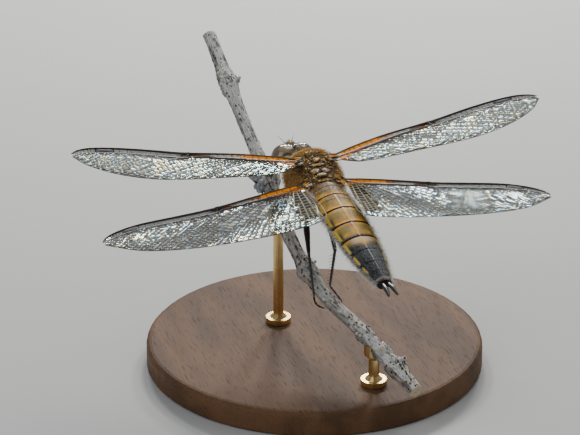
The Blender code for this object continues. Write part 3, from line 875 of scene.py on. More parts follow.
def heavy_veins(flat):
    """Tubes over the edge and the long veins of one wing."""
    wing = flat.wing
    nodus = wing["nodus"]

    def run(curve, start, end, count):
        return [curve(start + (end - start) * i / count) for i in range(count + 1)]
    veins = [
        strand(run(flat.front, 0.0, nodus, 24), 0.2, 0.19),
        strand(run(flat.front, nodus, 1.0, 30), 0.19, 0.1),
        strand(run(flat.radius, 0.0, 0.9, 40), 0.17, 0.12),
        strand(run(flat.radius, 0.9, 1.0, 10), 0.12, 0.06),
        strand(run(flat.subcosta, 0.0, nodus * 0.985, 24), 0.13, 0.09),
        strand(run(flat.rear, 0.0, 1.0, 70), 0.075, 0.06, around=5),
        strand(run(flat.front, nodus - 0.006, nodus + 0.012, 2), 0.27, 0.24),
        strand([flat.front(nodus), flat.radius(nodus + 0.012)], 0.14, 0.12),
    ]
    for number in range(len(wing["ribs"])):
        thick, thin = (0.095, 0.07) if number in wing["heavy"] else (0.065, 0.05)
        veins.append(strand(run(partial(flat.rib, number), 0, 1, 26), thick, thin, around=5))
    inner, outer = wing["spot"]
    for t in (inner, outer):
        veins.append(strand([flat.front(t), flat.radius(t)], 0.09, 0.09, around=4))
    root = 0.105 if wing["rear_patch"] else 0.095
    veins.append(strand([flat.radius(root), flat.field(root + 0.02, 0.1)], 0.13, 0.1))
    return veins


def wing_spot(flat):
    """The thick dark cell near the tip."""
    inner, outer = flat.wing["spot"]
    bm = bmesh.new()
    bmesh.ops.create_grid(bm, x_segments=10, y_segments=4, size=1)
    for vert in bm.verts:
        t = inner + (outer - inner) * ((vert.co.x + 1) / 2)
        across = 0.5 - vert.co.y * 0.46
        crown = (1 - abs(vert.co.x) ** 6) * (1 - abs(vert.co.y) ** 4)
        point = flat.front(t).lerp(flat.radius(t), across)
        vert.co = (point.x, point.y, 0.13 * crown)
    return both_faces(bm)


print("veins are", 2 * VEIN_HALF, "to 0.4 mm wide")

# %% [markdown]
# ## Wings: finishes
# Vein is dark horn that turns amber at the root. The skin is a film a few thousandths thick: it is
# nearly clear, faintly smoky, mirrors the lamps, and breaks the light into pink and blue as oil
# on water does. Three films of different thickness are dealt out among the cells. The amber strip
# and the black patch are thicker and dull, so they have films of their own. The amber one glows a
# little, which stands for the light that passes through it.

# %% Vein, film and spot finishes
f = Finish("wing_vein")
amber, fan = f.attribute("amber"), f.attribute("fan")
grain = f.cloud(f.place(), 0.35, 3)
f.colour = f.mix(grain, (0.018, 0.013, 0.011), (0.05, 0.034, 0.024))
f.paint(amber * (0.02 + grain * 0.36), (0.72, 0.3, 0.01))
f.paint(fan * (0.45 + grain * 0.6), (0.86, 0.74, 0.46))
f.paint(f.attribute("milky") * 0.3, (0.6, 0.56, 0.44))
VEIN = f.shade(0.34 + grain * 0.16, f.bump(grain, 0.02), Coat_Weight=0.3, Coat_Roughness=0.25)


def film_finish(name, film, tone):
    f = Finish(name)
    amber, dark, milky = f.attribute("amber"), f.attribute("dark"), f.attribute("milky")
    place = f.place()
    mottle = f.cloud(place, 1.4, 3)
    f.colour = f.mix(mottle, tuple(c * 0.75 for c in tone), tone)
    f.paint(amber, (0.84, 0.19, 0.002))
    f.paint(dark, (0.012, 0.009, 0.008))
    f.paint(milky, (0.66, 0.7, 0.62))
    cover = 0.43 + mottle * 0.14 + amber * 0.62 + dark * 0.5 + milky * 0.35
    ripple = f.cloud(place, 0.22, 2, 0.5)
    return f.shade(0.09 + mottle * 0.05, f.bump(ripple, 0.005, 0.6), Alpha=cover, IOR=1.75,
                   Thin_Film_Thickness=film, Thin_Film_IOR=1.38)


def dull_film_finish(name, low, high, cover, gloss, glow):
    """The coloured parts of the skin: thicker, with no play of colours."""
    f = Finish(name)
    grain = f.cloud(f.place(), 0.45, 4, 0.6)
    f.colour = f.mix(grain, low, high)
    return f.shade(0.42 + grain * 0.25, f.bump(grain, 0.02), Alpha=cover + grain * 0.12,
                   Specular_IOR_Level=gloss, Emission_Color=glow, Emission_Strength=0.22)


f = Finish("wing_spot")
grain = f.cloud(f.stretch(f.place(), (1, 3, 1)), 0.25, 4)
f.colour = f.mix(grain, (0.01, 0.009, 0.012), (0.055, 0.045, 0.06))
SPOT = f.shade(0.42 + grain * 0.2, f.bump(grain, 0.02), Specular_IOR_Level=0.3)

FILMS = [film_finish("wing_film_silver", 205.0, (0.06, 0.058, 0.052)),
         film_finish("wing_film_rose", 285.0, (0.062, 0.055, 0.058)),
         film_finish("wing_film_blue", 230.0, (0.05, 0.058, 0.064))]
FILMS.append(dull_film_finish("wing_film_amber", (0.62, 0.13, 0.001), (0.98, 0.4, 0.006),
                              0.9, 0.12, (1.0, 0.3, 0.001)))
FILMS.append(dull_film_finish("wing_film_black", (0.003, 0.003, 0.003), (0.016, 0.013, 0.011),
                              0.96, 0.05, (0.0, 0.0, 0.0)))
print("wing finishes:", ", ".join(m.name for m in [VEIN, *FILMS, SPOT]))

# %% [markdown]
# ## Wings: putting them together
# Net, skin and spot are three pieces on each wing. The net replaces the wing's solid. A cell of
# the skin takes the black or the amber film where the marks say so, and otherwise one of the
# three clear films, by a slow noise.

# %% Build the four wings
CLEAR_FILMS, AMBER_SLOT, BLACK_SLOT = 3, 3, 4


def share_marked(face, values):
    """How much of a face its mark covers."""
    return sum(values[v].value for v in face.vertices) / len(face.vertices)


def build_wing(kind, side, hand):
    """One wing: its net with the long veins, its skin and its dark spot."""
    wing = WINGS[kind]
    flat = FlatWing(wing)
    marks = wing_marks(flat)
    net, skin = split_cells(flat)
    both_faces(net)
    add_to(net, *heavy_veins(flat))
    write_marks(net, marks)
    name = f"{kind}_{hand}"
    add_piece(name + "_veins", bend_up(net, wing, side), VEIN, "wing", name)
    dome_cells(skin, flat, seed=len(kind) + side)
    write_marks(skin, marks)
    both_faces(skin)
    bend_up(skin, wing, side)
    film = add_piece(name + "_skin", skin, FILMS[0], "wing", sharp=60)
    for extra in FILMS[1:]:
        film.data.materials.append(extra)
    amber, dark = (film.data.attributes[key].data for key in ("amber", "dark"))
    for face in film.data.polygons:
        if share_marked(face, dark) > 0.5:
            face.material_index = BLACK_SLOT
        elif share_marked(face, amber) > 0.55:
            face.material_index = AMBER_SLOT
        else:
            slow = noise.noise(face.center / (CELL * MM) * 0.8 + Vector((3, 7, side)))
            face.material_index = int(abs(slow * 17)) % CLEAR_FILMS
    spot = wing_spot(flat)
    write_marks(spot, marks)
    add_piece(name + "_spot", bend_up(spot, wing, side), SPOT, "wing")


for kind in WINGS:
    for side, hand in SIDES:
        build_wing(kind, side, hand)

# %% [markdown]
# ## Abdomen: ten shell plates
# A dragonfly's abdomen is a row of horn rings. Each ring's rear rim stands a little proud and
# overlaps the tucked front of the next, a keel runs along the back, and a ridge along each side.
# A drum with many bands carries all of that: every corner is placed by its share along the ring
# and its angle round it, and both are written on the mesh for the finish to follow.

# %% Abdomen rings
RING_LENGTHS = (1.0, 2.5, 3.9, 4.1, 3.9, 3.4, 3.0, 2.3, 1.5, 0.9)
ABDOMEN_SIZES = (
    (0.0, 2.4, 1.35, 2.1), (3.5, 3.0, 1.45, 2.2), (7.0, 3.3, 1.5, 2.2), (12.0, 3.3, 1.5, 2.1),
    (16.5, 3.0, 1.45, 2.0), (19.5, 2.65, 1.35, 1.9), (22.0, 2.25, 1.2, 1.7),
    (24.3, 1.7, 1.05, 1.4), (26.5, 1.15, 0.85, 1.0),
)
RING_PROFILE = ((0.0, 0.9), (0.05, 0.965), (0.1, 0.99), (0.3, 1.0), (0.6, 1.004), (0.88, 1.0),
                (0.95, 1.022), (0.98, 1.018), (1.0, 0.955))
CROSS_RIDGES = {2: (0.42,), 3: (0.3,), 4: (0.22,)}
TUCK = 0.22                     # how far a ring reaches in under the one before it
RIM_GAP = 0.02


def power_curve(value, power):
    """One coordinate of a superellipse of that power."""
    return math.copysign(abs(value) ** (2 / power), value)


def abdomen_point(distance, angle, scale=1.0):
    """A point of the abdomen's shell, in its own frame; angle 90 degrees is the keel."""
    half, rise, drop = smooth(ABDOMEN_SIZES, distance)
    upper = math.sin(angle) >= 0
    power, height = (1.7, rise) if upper else (2.3, drop)
    keel = 0.08 * bell(angle, math.pi / 2, 0.07)
    side = 0.07 * (bell(math.sin(angle), 0.02, 0.07))
    return Vector((
        (half * scale + side) * power_curve(math.cos(angle), power),
        -distance,
        height * scale * power_curve(math.sin(angle), power) + keel,
    ))


def abdomen_ring(number, start, length):
    """One ring, with its share along and its turn round written on the mesh."""
    around, along = 56, 22
    bm = drum(around, along)
    run, turn = bm.verts.layers.float.new("along"), bm.verts.layers.float.new("around")
    for vert in bm.verts:
        share = 0.5 + vert.co.z
        share = share + 0.1 * math.sin(math.tau * share) / math.tau
        angle = math.atan2(vert.co.y, vert.co.x)
        distance = start - TUCK + (length + TUCK - RIM_GAP) * share
        (scale,) = smooth(RING_PROFILE, share)
        place = (distance - start) / length
        lift = sum(0.014 * bell(place, at, 0.018) for at in CROSS_RIDGES.get(number, ()))
        off_keel = abs(angle - math.pi / 2)
        dent = -0.012 * bell(abs(off_keel - 0.75), 0, 0.12) * bell(place, 0.55, 0.12)
        wave = 0.006 * noise.noise(Vector((math.cos(angle) * 2, math.sin(angle) * 2, distance)))
        vert.co = abdomen_point(max(0, distance), angle, scale + lift + dent + wave)
        vert.co.y = -distance
        vert[run] = number + place
        vert[turn] = min(off_keel, math.tau - off_keel) / math.pi
    bmesh.ops.recalc_face_normals(bm, faces=bm.faces)
    return moved(bm, ABDOMEN)


# %% [markdown]
# ## Abdomen: its markings
# The plates are tan and olive with orange edges and thin black rings in front, and charcoal behind
# the sixth. A line follows the keel: where it is pale, on the third ring, it is a painted
# highlight, and further back it is orange, then grey. A pale patch at the front of the sixth ring,
# beside the keel, is a painted highlight too. Yellow streaks the sides. Fine speckle in the
# charcoal stands for the roots of its short hair. Painting a picture for this would need an unwrap.
# The two numbers on each corner, along and around, say the same with a few soft steps.

# %% Abdomen finish
f = Finish("abdomen_shell")
place = f.place()
along, around = f.attribute("along"), f.attribute("around")
share = f.maths("FRACT", along)
soft = f.cloud(place, 1.6, 3)
fine = f.cloud(f.stretch(place, (1, 0.4, 1)), 0.16, 4, 0.6)
pores = f.cells(place, 0.16)
waver = (soft - 0.5) * 0.22
on_top = f.step(around, 0.4, 0.3)
tan = f.mix(f.step(soft, 0.25, 0.75), (0.46, 0.2, 0.012), (0.78, 0.46, 0.06))
tan = f.mix(f.step(fine, 0.35, 0.75) * 0.45, tan, (0.32, 0.15, 0.012))
olive = f.step(share, 0.1, 0.25) * f.step(share, 0.72, 0.5) \
    * f.step(around, 0.05, 0.14) * on_top
tan = f.mix(olive * 0.78, tan, (0.23, 0.18, 0.048))
orange_run = f.step(share + waver * 0.7, 0.74, 0.9) * f.step(along, 5.6, 5.0)
orange = f.mix(fine, (0.86, 0.31, 0.004), (1.0, 0.56, 0.03))
f.colour = f.mix(orange_run * f.step(around, 0.47, 0.38), tan, orange)
side_orange = f.step(around + waver * 0.3, 0.24, 0.34) * f.step(along, 4.6, 3.6)
f.paint(side_orange * 0.75, (0.72, 0.33, 0.015))
f.paint(f.step(along + waver, 3.0, 1.9) * 0.8, (0.13, 0.085, 0.035))
rear = f.step(along + waver * 0.9 + around * 0.9, 6.45, 6.85)
fifth = f.step(share + waver, 0.74, 0.92) * f.step(along, 4.9, 5.1) * f.step(along, 6.3, 6.0)
shoulder = f.step(around + waver * 0.35, 0.26, 0.32) * f.step(share, 0.25, 0.6) \
    * f.step(along, 3.6, 4.3)
# painted highlight: a pale patch at the front of the sixth ring, beside the keel
sixth_ring_highlight = f.step(along, 5.98, 6.06) * f.step(along + waver, 6.5, 6.25) \
    * f.step(around, 0.3, 0.12)
f.paint(sixth_ring_highlight * 0.8, (0.74, 0.54, 0.36))
charcoal = f.mix(f.step(fine, 0.35, 0.75), (0.003, 0.004, 0.005), (0.06, 0.065, 0.078))
charcoal = f.mix(f.step(pores, 0.26, 0.1) * 0.7, charcoal, (0.5, 0.51, 0.53))
dark = rear | fifth * 0.85 | shoulder * 0.85
f.paint(dark, charcoal)
streak = f.step(around, 0.345, 0.365) * f.step(around, 0.455, 0.435) * f.step(share, 0.08, 0.16) \
    * f.step(share + around * 0.8, 1.18, 1.08) * f.step(along, 2.8, 3.4) * f.step(along, 9.0, 8.6)
yellow = f.mix(fine, (0.66, 0.44, 0.03), (0.84, 0.64, 0.1))
f.paint(streak * 0.92, yellow)
belly = f.step(around, 0.5, 0.56)
f.paint(belly * 0.9, f.mix(fine, (0.035, 0.03, 0.026), (0.13, 0.11, 0.085)))
ring = f.step(share + waver * 0.12, 0.905, 0.94) | f.step(share, 0.045, 0.015)
second = f.step(abs(along - 2.42), 0.045, 0.02)
third = f.step(abs(along - 3.3), 0.035, 0.015)
lines = ring | second | third * 0.85
f.paint(lines * 0.94, (0.012, 0.01, 0.01))
keel = f.step(around, 0.022, 0.012) * f.step(along, 2.9, 3.2) * f.step(share, 0.96, 0.93)
# the keel's pale tone on the third ring is a painted highlight; the orange and grey further back
# are its colour
keel_tone_and_highlight = f.mix(f.step(along, 3.6, 4.4), (0.98, 0.86, 0.58), (0.84, 0.44, 0.07))
keel_tone_and_highlight = f.mix(f.step(along, 6.3, 6.8), keel_tone_and_highlight, (0.3, 0.3, 0.3))
f.paint(keel * 0.9, keel_tone_and_highlight)
tail = f.step(along, 9.85, 10.05) * f.step(along, 10.6, 10.4)
f.paint(tail * fine * 0.9, (0.52, 0.4, 0.35))
height = fine * 0.5 + f.step(pores, 0.0, 0.4) * 0.5
ABDOMEN_SHELL = f.shade(0.4 + fine * 0.18 + dark * 0.08, f.bump(height, 0.035, 0.9),
                        Specular_IOR_Level=0.22, Coat_Weight=0.05, Coat_Roughness=0.2)

distance = 0.0
for number, length in enumerate(RING_LENGTHS, start=1):
    slot = "abdomen_tan" if number < 6 else "abdomen_dark"
    ring = abdomen_ring(number, distance, length)
    add_piece(f"abdomen_plate_{number}", ring, ABDOMEN_SHELL, slot, f"abdomen_{number}")
    distance += length
print("abdomen is", distance, "mm long")

# %% [markdown]
# ## Claspers
# Two black finger-like claspers and a short plate end the abdomen. Each is a tube that swells
# past its middle and closes to a blunt tip. The same finger shape makes the limbs, feelers, claws
# and root rods further on, and the same black horn covers most of them.

# %% Black horn finish and claspers
def horn_finish(name, low, high, rough):
    """Black horn with a faint grain, for claspers, legs and feelers."""
    f = Finish(name)
    place = f.place()
    grain = f.cloud(f.stretch(place, (1, 1, 0.35)), 0.12, 4, 0.6)
    patch = f.cloud(place, 1.1, 2)
    f.colour = f.mix(grain * 0.6 + patch * 0.4, low, high)
    return f.shade(rough + grain * 0.2, f.bump(grain, 0.012), Coat_Weight=0.35,
                   Coat_Roughness=0.22)


HORN = horn_finish("black_horn", (0.008, 0.007, 0.007), (0.035, 0.028, 0.024), 0.28)
LEG_HORN = horn_finish("leg_horn", (0.007, 0.006, 0.007), (0.045, 0.032, 0.024), 0.26)


def finger(points, radii, flat=1.0, around=14, along=16):
    """A smooth closed tube with rounded ends."""
    path = [Vector(p) for p in spread(points, along)]
    sizes = [size for (size,) in spread([(r,) for r in radii], along)]
    first, last = path[0], path[-1]
    path = [first.lerp(path[1], 0.02)] + path[1:-1] + [last.lerp(path[-2], 0.02)]
    path = [first] + path + [last]
    sizes = [sizes[0] * 0.6] + sizes[:-1] + [sizes[-1] * 0.75, sizes[-1] * 0.35]
    return tube(path, sizes, around, flat)


for side, hand in SIDES:
    points = [(side * x, y, z) for x, y, z in ((0.42, -26.2, 0.25), (0.5, -27.2, 0.42),
                                              (0.62, -28.5, 0.55), (0.75, -30.1, 0.45))]
    clasper = moved(finger(points, (0.24, 0.3, 0.38, 0.2), 0.8), ABDOMEN)
    add_piece(f"clasper_{hand}", clasper, HORN, "leg_black", f"cercus_{hand}")
plate = moved(finger([(0, -26.2, -0.5), (0, -27.4, -0.52), (0, -28.3, -0.45)],
                     (0.46, 0.44, 0.24), 0.6), ABDOMEN)
add_piece("tail_plate", plate, HORN, "leg_black", "epiproct")

# %% [markdown]
# ## Wings: roots
# A wing doesn't start as a flat edge. Its front veins gather into stout rods that run in to the
# hinge plates of the thorax, with a tough amber skin between them. The rods are fingers that end
# on the bent wing, and the skin is a ball flattened to the wing's own lie.

# %% Root rods and root skin
ROOTS = {  # each rod's place on the flat wing, and its place in the insect's frame
    "forewing": (((1.3, 0.0), (2.05, 3.35, 2.85)), ((1.3, -0.75), (2.0, 2.9, 2.95)),
                 ((1.3, -1.35), (1.9, 2.5, 2.9)), ((1.5, -2.5), (2.0, 1.6, 2.65))),
    "hindwing": (((1.0, 0.0), (2.2, -1.35, 1.95)), ((1.0, -0.75), (2.1, -1.8, 1.95)),
                 ((1.0, -1.35), (2.1, -2.2, 1.8)), ((0.7, -2.8), (2.2, -2.9, 1.5))),
}
ROD_SIZES = ((0.21, 0.32), (0.15, 0.2), (0.18, 0.3), (0.09, 0.18))     # thin and thick radius
ROOT_SKIN = (0.95, 1.0, 0.08)                                            # its half sizes


f = Finish("wing_root")
place = f.place()
soft, fine = f.cloud(place, 0.9, 3), f.cloud(place, 0.16, 3)
amber = f.mix(soft, (0.56, 0.19, 0.004), (0.98, 0.5, 0.02))
f.colour = f.mix(f.step(soft + fine * 0.4, 0.62, 0.74), amber, (0.02, 0.012, 0.008))
ROOT_HORN = f.shade(0.4 + fine * 0.2, f.bump(fine, 0.03), Specular_IOR_Level=0.35)

for kind, rods in ROOTS.items():
    for side, hand in SIDES:
        bent = wing_bender(WINGS[kind], side)
        root, middles = bmesh.new(), []
        for ((x, y), (a, b, c)), (thin, thick) in zip(rods, ROD_SIZES):
            tip, hinge = bent(Vector((x, y, 0))), BODY @ Vector((side * a, b, c))
            middles.append(tip.lerp(hinge, 0.5))
            bow = tip.lerp(hinge, 0.55) + Vector((0, 0, 0.06))
            sizes = (thick * 0.8, (thin + thick) * 0.36, thin * 0.8)
            add_to(root, finger([hinge, bow, tip], sizes, around=12, along=10))
        centre = sum(middles, Vector()) / len(middles)
        lie = wing_frame(WINGS[kind], side).to_3x3().to_4x4()
        web = ellipsoid((0, 0, 0), (1, 1, 1), 24, 12)
        add_to(root, moved(web, Matrix.Translation(centre) @ lie
                           @ Matrix.Diagonal((*ROOT_SKIN, 1))))
        add_piece(f"{kind}_{hand}_root", root, ROOT_HORN, "wing")

# %% [markdown]
# ## Legs
# The feet stand on the twig, so its line comes first: a smooth curve through a few points, with
# knots that swell its radius.

# %% The twig's line
TWIG_LINE = (
    (-31.0, 7.3, 7.6), (-26.1, 5.7, 9.6), (-16.7, 2.2, 13.3), (-8.3, -1.4, 16.6),
    (2.9, -3.8, 22.9), (12.5, -4.4, 29.2), (24.4, -5.7, 37.1), (39.2, -7.1, 47.2),
)
TWIG_START, TWIG_END = TWIG_LINE[0][0], TWIG_LINE[-1][0]
TWIG_RADIUS = 1.22
TWIG_KNOTS = ((-26.0, 0.6, 1.7), (-22.4, 0.3, 0.8), (-18.2, 0.35, 1.1), (-4.2, 0.55, 1.9),
              (13.0, 0.95, 2.0), (30.2, 0.6, 1.9))


def twig_axis(y):
    """The point of the twig's axis at y."""
    x, z = smooth(TWIG_LINE, y)
    return Vector((x, y, z))


def twig_radius(y):
    """The twig's radius at y, with its knots."""
    return TWIG_RADIUS + sum(extra * bell(y, at, half) for at, extra, half in TWIG_KNOTS)


def twig_cross(behind, ahead):
    """The way up and the way right, square to the twig between two places along it."""
    along = (twig_axis(ahead) - twig_axis(behind)).normalized()
    right = along.cross(Vector((0, 0, 1))).normalized()
    return right.cross(along), right


def on_twig(y, angle, clearance):
    """A point that far off the bark, at an angle from the twig's top to the insect's right."""
    top, right = twig_cross(y - TWIG_RADIUS, y + TWIG_RADIUS)
    turn = math.radians(angle)
    out = top * math.cos(turn) + right * math.sin(turn)
    return twig_axis(y) + out * (twig_radius(y) + clearance)


print("the twig is", round((twig_axis(TWIG_END) - twig_axis(TWIG_START)).length), "mm long")

# %% [markdown]
# ## Six legs
# Each leg is coxa, femur, tibia and a thin tarsus that ends in two claws. The long joints carry
# two rows of stiff spines, the comb that a dragonfly catches flies with. The path comes from the
# same joints and the same feet on the twig as the solids; the limbs here are slimmer and shaped,
# and the spines are thin four-sided tubes that run to a point.

# %% Legs with spines and claws
LEGS = {  # root, hip and knee in the insect's frame; ankle and toe by place, turn and lift
    "front_left": ((-1.2, 5.2, -4.4), (-2, 5.6, -6.3), (-6.2, 6.4, -5.4),
                   (8.6, -75, 0.3), (11, -100, 0)),
    "front_right": ((1.2, 5.2, -4.4), (1.6, 5.8, -6.3), (1.9, 9.4, -7.4),
                    (6.8, 40, 0.3), (9.2, 65, 0)),
    "middle_left": ((-1.3, 2.9, -4.6), (-2.1, 3.4, -6.4), (-7, 3, -6.2),
                    (3.4, -80, 0.3), (5.9, -105, 0)),
    "middle_right": ((1.3, 2.9, -4.6), (2, 2.8, -6.8), (4.4, 3.4, -9.4),
                     (4, 40, 0.3), (6.3, 70, 0)),
    "hind_left": ((-1.3, 0.5, -4.6), (-2, -0.6, -6.8), (-3.25, -6.7, -9.3),
                  (-9, -75, 1), (-9.9, -140, 0.2)),
    "hind_right": ((1.3, 0.5, -4.6), (2, -0.6, -6.8), (1.2, -7.3, -9.1),
                   (-8.6, 30, 0.3), (-11.2, 55, 0)),
}
FOOT_SIZES = (0.15, 0.19, 0.13, 0.17, 0.19, 0.12, 0.16, 0.18, 0.13)      # swollen at its joints
FOOT_RISE = 0.3                # the middle of a foot above the bark


def spine(root, tip, thick):
    """One stiff spine, bent a little."""
    middle = root.lerp(tip, 0.5) + Vector((0, 0, 0.05))
    return tube([root, middle, tip], [thick, thick * 0.7, thick * 0.12], around=4)


def comb(start, end, out, count, length, thick, lean):
    """A row of spines along a limb, leaning towards its end."""
    along = (end - start).normalized()
    row = []
    for i in range(count):
        share = 0.12 + 0.8 * i / (count - 1)
        root = start.lerp(end, share) + out * thick * 2
        reach = length * (1.05 - 0.35 * share)
        row.append(spine(root, root + out * reach * 0.8 + along * reach * lean, thick))
    return row


def build_leg(name, root, hip, knee, ankle, toe):
    """One leg with its spines and claws, drawn where it stands."""
    root, hip, knee = (BODY @ Vector(joint) for joint in (root, hip, knee))
    foot = []
    for i in range(len(FOOT_SIZES)):
        share = i / (len(FOOT_SIZES) - 1)
        y, angle, lift = (a + (b - a) * share for a, b in zip(ankle, toe))
        foot.append(on_twig(y, angle, FOOT_RISE + lift))
    ankle, toe = foot[0], foot[-1]
    down = (hip - root).normalized()
    thigh, shin = (knee - hip).normalized(), (ankle - knee).normalized()
    bend_axis = thigh.cross(shin).normalized()
    inner = (shin - thigh * shin.dot(thigh)).normalized()
    pieces = [
        finger([root - down * 0.2, root.lerp(hip, 0.5), hip], (0.8, 0.92, 0.52), around=16),
        ellipsoid(hip, (0.52, 0.52, 0.52), 14, 10),
        finger([hip, hip.lerp(knee, 0.3), hip.lerp(knee, 0.75), knee - thigh * 0.05],
               (0.4, 0.56, 0.4, 0.33), 0.85, 14, 20),
        ellipsoid(knee, (0.33, 0.33, 0.33), 12, 8),
        finger([knee, knee.lerp(ankle, 0.3), knee.lerp(ankle, 0.7), ankle],
               (0.27, 0.25, 0.21, 0.17), 0.85, 12, 20),
        tube(foot, FOOT_SIZES, 10),
    ]
    ways = [(bend_axis * lean + inner * 0.6).normalized() for lean in (0.8, -0.8)]
    for way in ways:
        pieces += comb(hip, knee, way, 7, 0.75, 0.055, 0.45)
        pieces += comb(knee, ankle, (way - shin * way.dot(shin)).normalized(), 10, 1.05, 0.05, 0.5)
    for at in (2, 5, 8):
        toward = (foot[at] - foot[at - 1]).normalized()
        for way in ways:
            pieces.append(spine(foot[at], foot[at] + way * 0.28 + toward * 0.2, 0.03))
    leg_mesh = add_to(bmesh.new(), *pieces)
    nodes = [f"{name}_{part}" for part in ("coxa", "femur", "tibia", "tarsus")]
    add_piece(f"leg_{name}", leg_mesh, LEG_HORN, "leg_black", *nodes)
    toward = (toe - foot[-2]).normalized()
    into = (twig_axis(toe.y) - toe).normalized()
    side = toward.cross(into).normalized()
    claws = bmesh.new()
    for way in (-1, 1):
        add_to(claws, finger([toe, toe + toward * 0.25 + side * way * 0.14 - into * 0.05,
                              toe + toward * 0.5 + side * way * 0.22 + into * 0.1,
                              toe + toward * 0.56 + side * way * 0.22 + into * 0.26],
                             (0.085, 0.075, 0.05, 0.015), around=8, along=10))
    add_piece(f"claws_{name}", claws, HORN, "leg_black")


for name, joints in LEGS.items():
    build_leg(name, *joints)

# %% [markdown]
# ## Thorax: one furred skin
# The thorax is a deep box of muscle covered with fine golden hair. Its solid reaches to the tips
# of the hair, so the skin is drawn smaller by the coat's depth. The skin's own shape carries the
# ridge between the shoulders and the slanting grooves of the sides. Each corner remembers its
# place in the insect's frame, and one colour rule reads that place for skin and hair alike, so
# that the markings agree.

# %% Thorax skin
TRUNK = (
    (-3.6, 2.5, -3.4, 2.8), (-2.2, 3.3, -5.1, 3.9), (0.5, 3.9, -6.0, 4.7), (3.0, 4.0, -6.2, 4.9),
    (5.2, 3.5, -6.0, 4.6), (6.6, 2.5, -5.2, 3.7), (7.5, 1.2, -4.0, 2.6),
)
COLLAR = ((7.3, 0.5, -3.6, 1.9), (7.7, 0.9, -3.7, 2.2), (8.1, 0.35, -3.7, 1.9),
          (8.6, 0.45, -3.7, 2.0), (9.1, 0.1, -3.4, 1.7), (9.5, -0.1, -3.2, 1.5))
COAT = 0.62                     # depth of the hair
SKIN_FIRST, SKIN_LAST = -3.3, 7.25
COLLAR_FIRST, COLLAR_LAST = 7.3, 9.5


def trunk_point(stations, y, angle, coat=0.0):
    """A point of a trunk's skin, at y and an angle round it; 90 degrees is the back."""
    top, bottom, half = smooth(stations, y)
    middle, rise = (top + bottom) / 2, (top - bottom) / 2
    return Vector(((half - coat) * power_curve(math.cos(angle), 2.2), y,
                   middle + (rise - coat) * power_curve(math.sin(angle), 2.2)))


def thorax_point(y, angle):
    """A point of the furred skin with its ridge and grooves."""
    shrink = COAT + 0.25 * (1 - ease(-3.6, -2.6, y)) + 0.25 * ease(6.7, 7.4, y)
    point = trunk_point(TRUNK, y, angle, shrink)
    out = (point - Vector((0, y, -1))).normalized()
    side = abs(math.cos(angle))
    up = math.sin(angle)
    ridge = 0.16 * bell(angle, math.pi / 2, 0.1) * ease(3.2, 4.4, y)
    hollow = 0.95 * bell(y, -0.5, 4.2) * bell(angle, math.pi / 2, 0.62) * (1 - ease(3.2, 4.6, y))
    groove = sum(bell(y - at - 0.55 * point.z * 0.5, 0, 0.22) for at in (-0.2, 2.6, 5.0))
    groove *= ease(0.45, 0.8, side) * 0.12
    lumps = 0.05 * noise.noise(point * 0.9) + 0.02 * noise.noise(point * 2.6)
    return point + out * (ridge - hollow - groove + lumps + 0.04 * up)


def trunk_skin(place, first, last, around, along):
    """A closed skin from a rule that places a point at y and an angle."""
    bm = drum(around, along)
    home = bm.verts.layers.float_vector.new("home")
    for vert in bm.verts:
        y = first + (last - first) * (vert.co.z + 0.5)
        vert.co = place(y, math.atan2(vert.co.y, vert.co.x))
        vert[home] = vert.co
    bmesh.ops.recalc_face_normals(bm, faces=bm.faces)
    return moved(bm, BODY)


def thorax_colours(f, home):
    """The thorax's markings: golden back, rusty sides, black seams, yellow patches, dark neck."""
    x, y, z = f.split(home)
    place = f.place()
    soft = f.cloud(place, 1.3, 4)
    top = f.step(z + (soft - 0.5) * 1.2, 0.6, 2.8)
    rust = f.mix(soft, (0.26, 0.105, 0.015), (0.56, 0.25, 0.045))
    gold = f.mix(soft, (0.46, 0.26, 0.06), (0.74, 0.48, 0.15))
    colour = f.mix(top, rust, gold)
    lean = y - z * 0.28 + (soft - 0.5) * 0.3
    low = f.step(z, 1.6, 0.4)
    for first, last in ((0.55, 1.9), (-2.2, -0.9)):
        patch = f.step(lean, first, first + 0.25) * f.step(lean, last, last - 0.25) * low
        colour = f.mix(patch * 0.75, colour, (0.5, 0.4, 0.11))
    for at in (-0.4, 2.35, 4.9):
        seam = f.step(abs(lean - at), 0.26, 0.12) * f.step(z, 2.4, 1.2)
        colour = f.mix(seam * 0.9, colour, (0.012, 0.009, 0.007))
    keel = f.step(abs(x), 0.22, 0.08) * f.step(y, 3.0, 3.6)
    colour = f.mix(keel * 0.7, colour, (0.05, 0.03, 0.015))
    neck = f.step(y + (soft - 0.5) * 0.6, 6.2, 7.2)
    colour = f.mix(neck * 0.8, colour, (0.1, 0.05, 0.018))
    between = f.step(z, 1.0, 1.9) * f.step(y + (soft - 0.5) * 1.4, 4.6, 3.6)
    return f.mix(between * 0.9, colour, (0.03, 0.018, 0.01))


f = Finish("thorax_skin")
f.colour = thorax_colours(f, f.attribute("home", "Vector"))
pores = f.cells(f.place(), 0.13)
fine = f.cloud(f.place(), 0.18, 4, 0.6)
f.paint(f.step(pores, 0.3, 0.1) * 0.6, (0.06, 0.035, 0.015))
SKIN = f.shade(0.42 + fine * 0.2, f.bump(pores * 0.6 + fine * 0.6, 0.03, 0.8), Coat_Weight=0.15)

thorax = trunk_skin(thorax_point, SKIN_FIRST, SKIN_LAST, 72, 56)
add_piece("thorax_skin", thorax, SKIN, "body_brown", "thorax")
collar = trunk_skin(lambda y, angle: trunk_point(COLLAR, y, angle, 0.1 + 0.25 * ease(9.2, 9.5, y)),
                    COLLAR_FIRST, COLLAR_LAST, 48, 26)
add_piece("collar", collar, SKIN, "body_brown", "prothorax")

# %% [markdown]
# ## Thorax: plates between the wings
# Between the wing roots the back is a crowd of small horn plates: two shoulder swellings, a
# shield-like scutellum, and the same again for the hind wings, with little hinge plates out to
# each wing. They are domes of tan horn with black seams, so each is an ellipsoid that knows how
# far each corner stands above its own middle. Over a hundred specks of horn, placed by seeded
# chance, crowd the back between them.

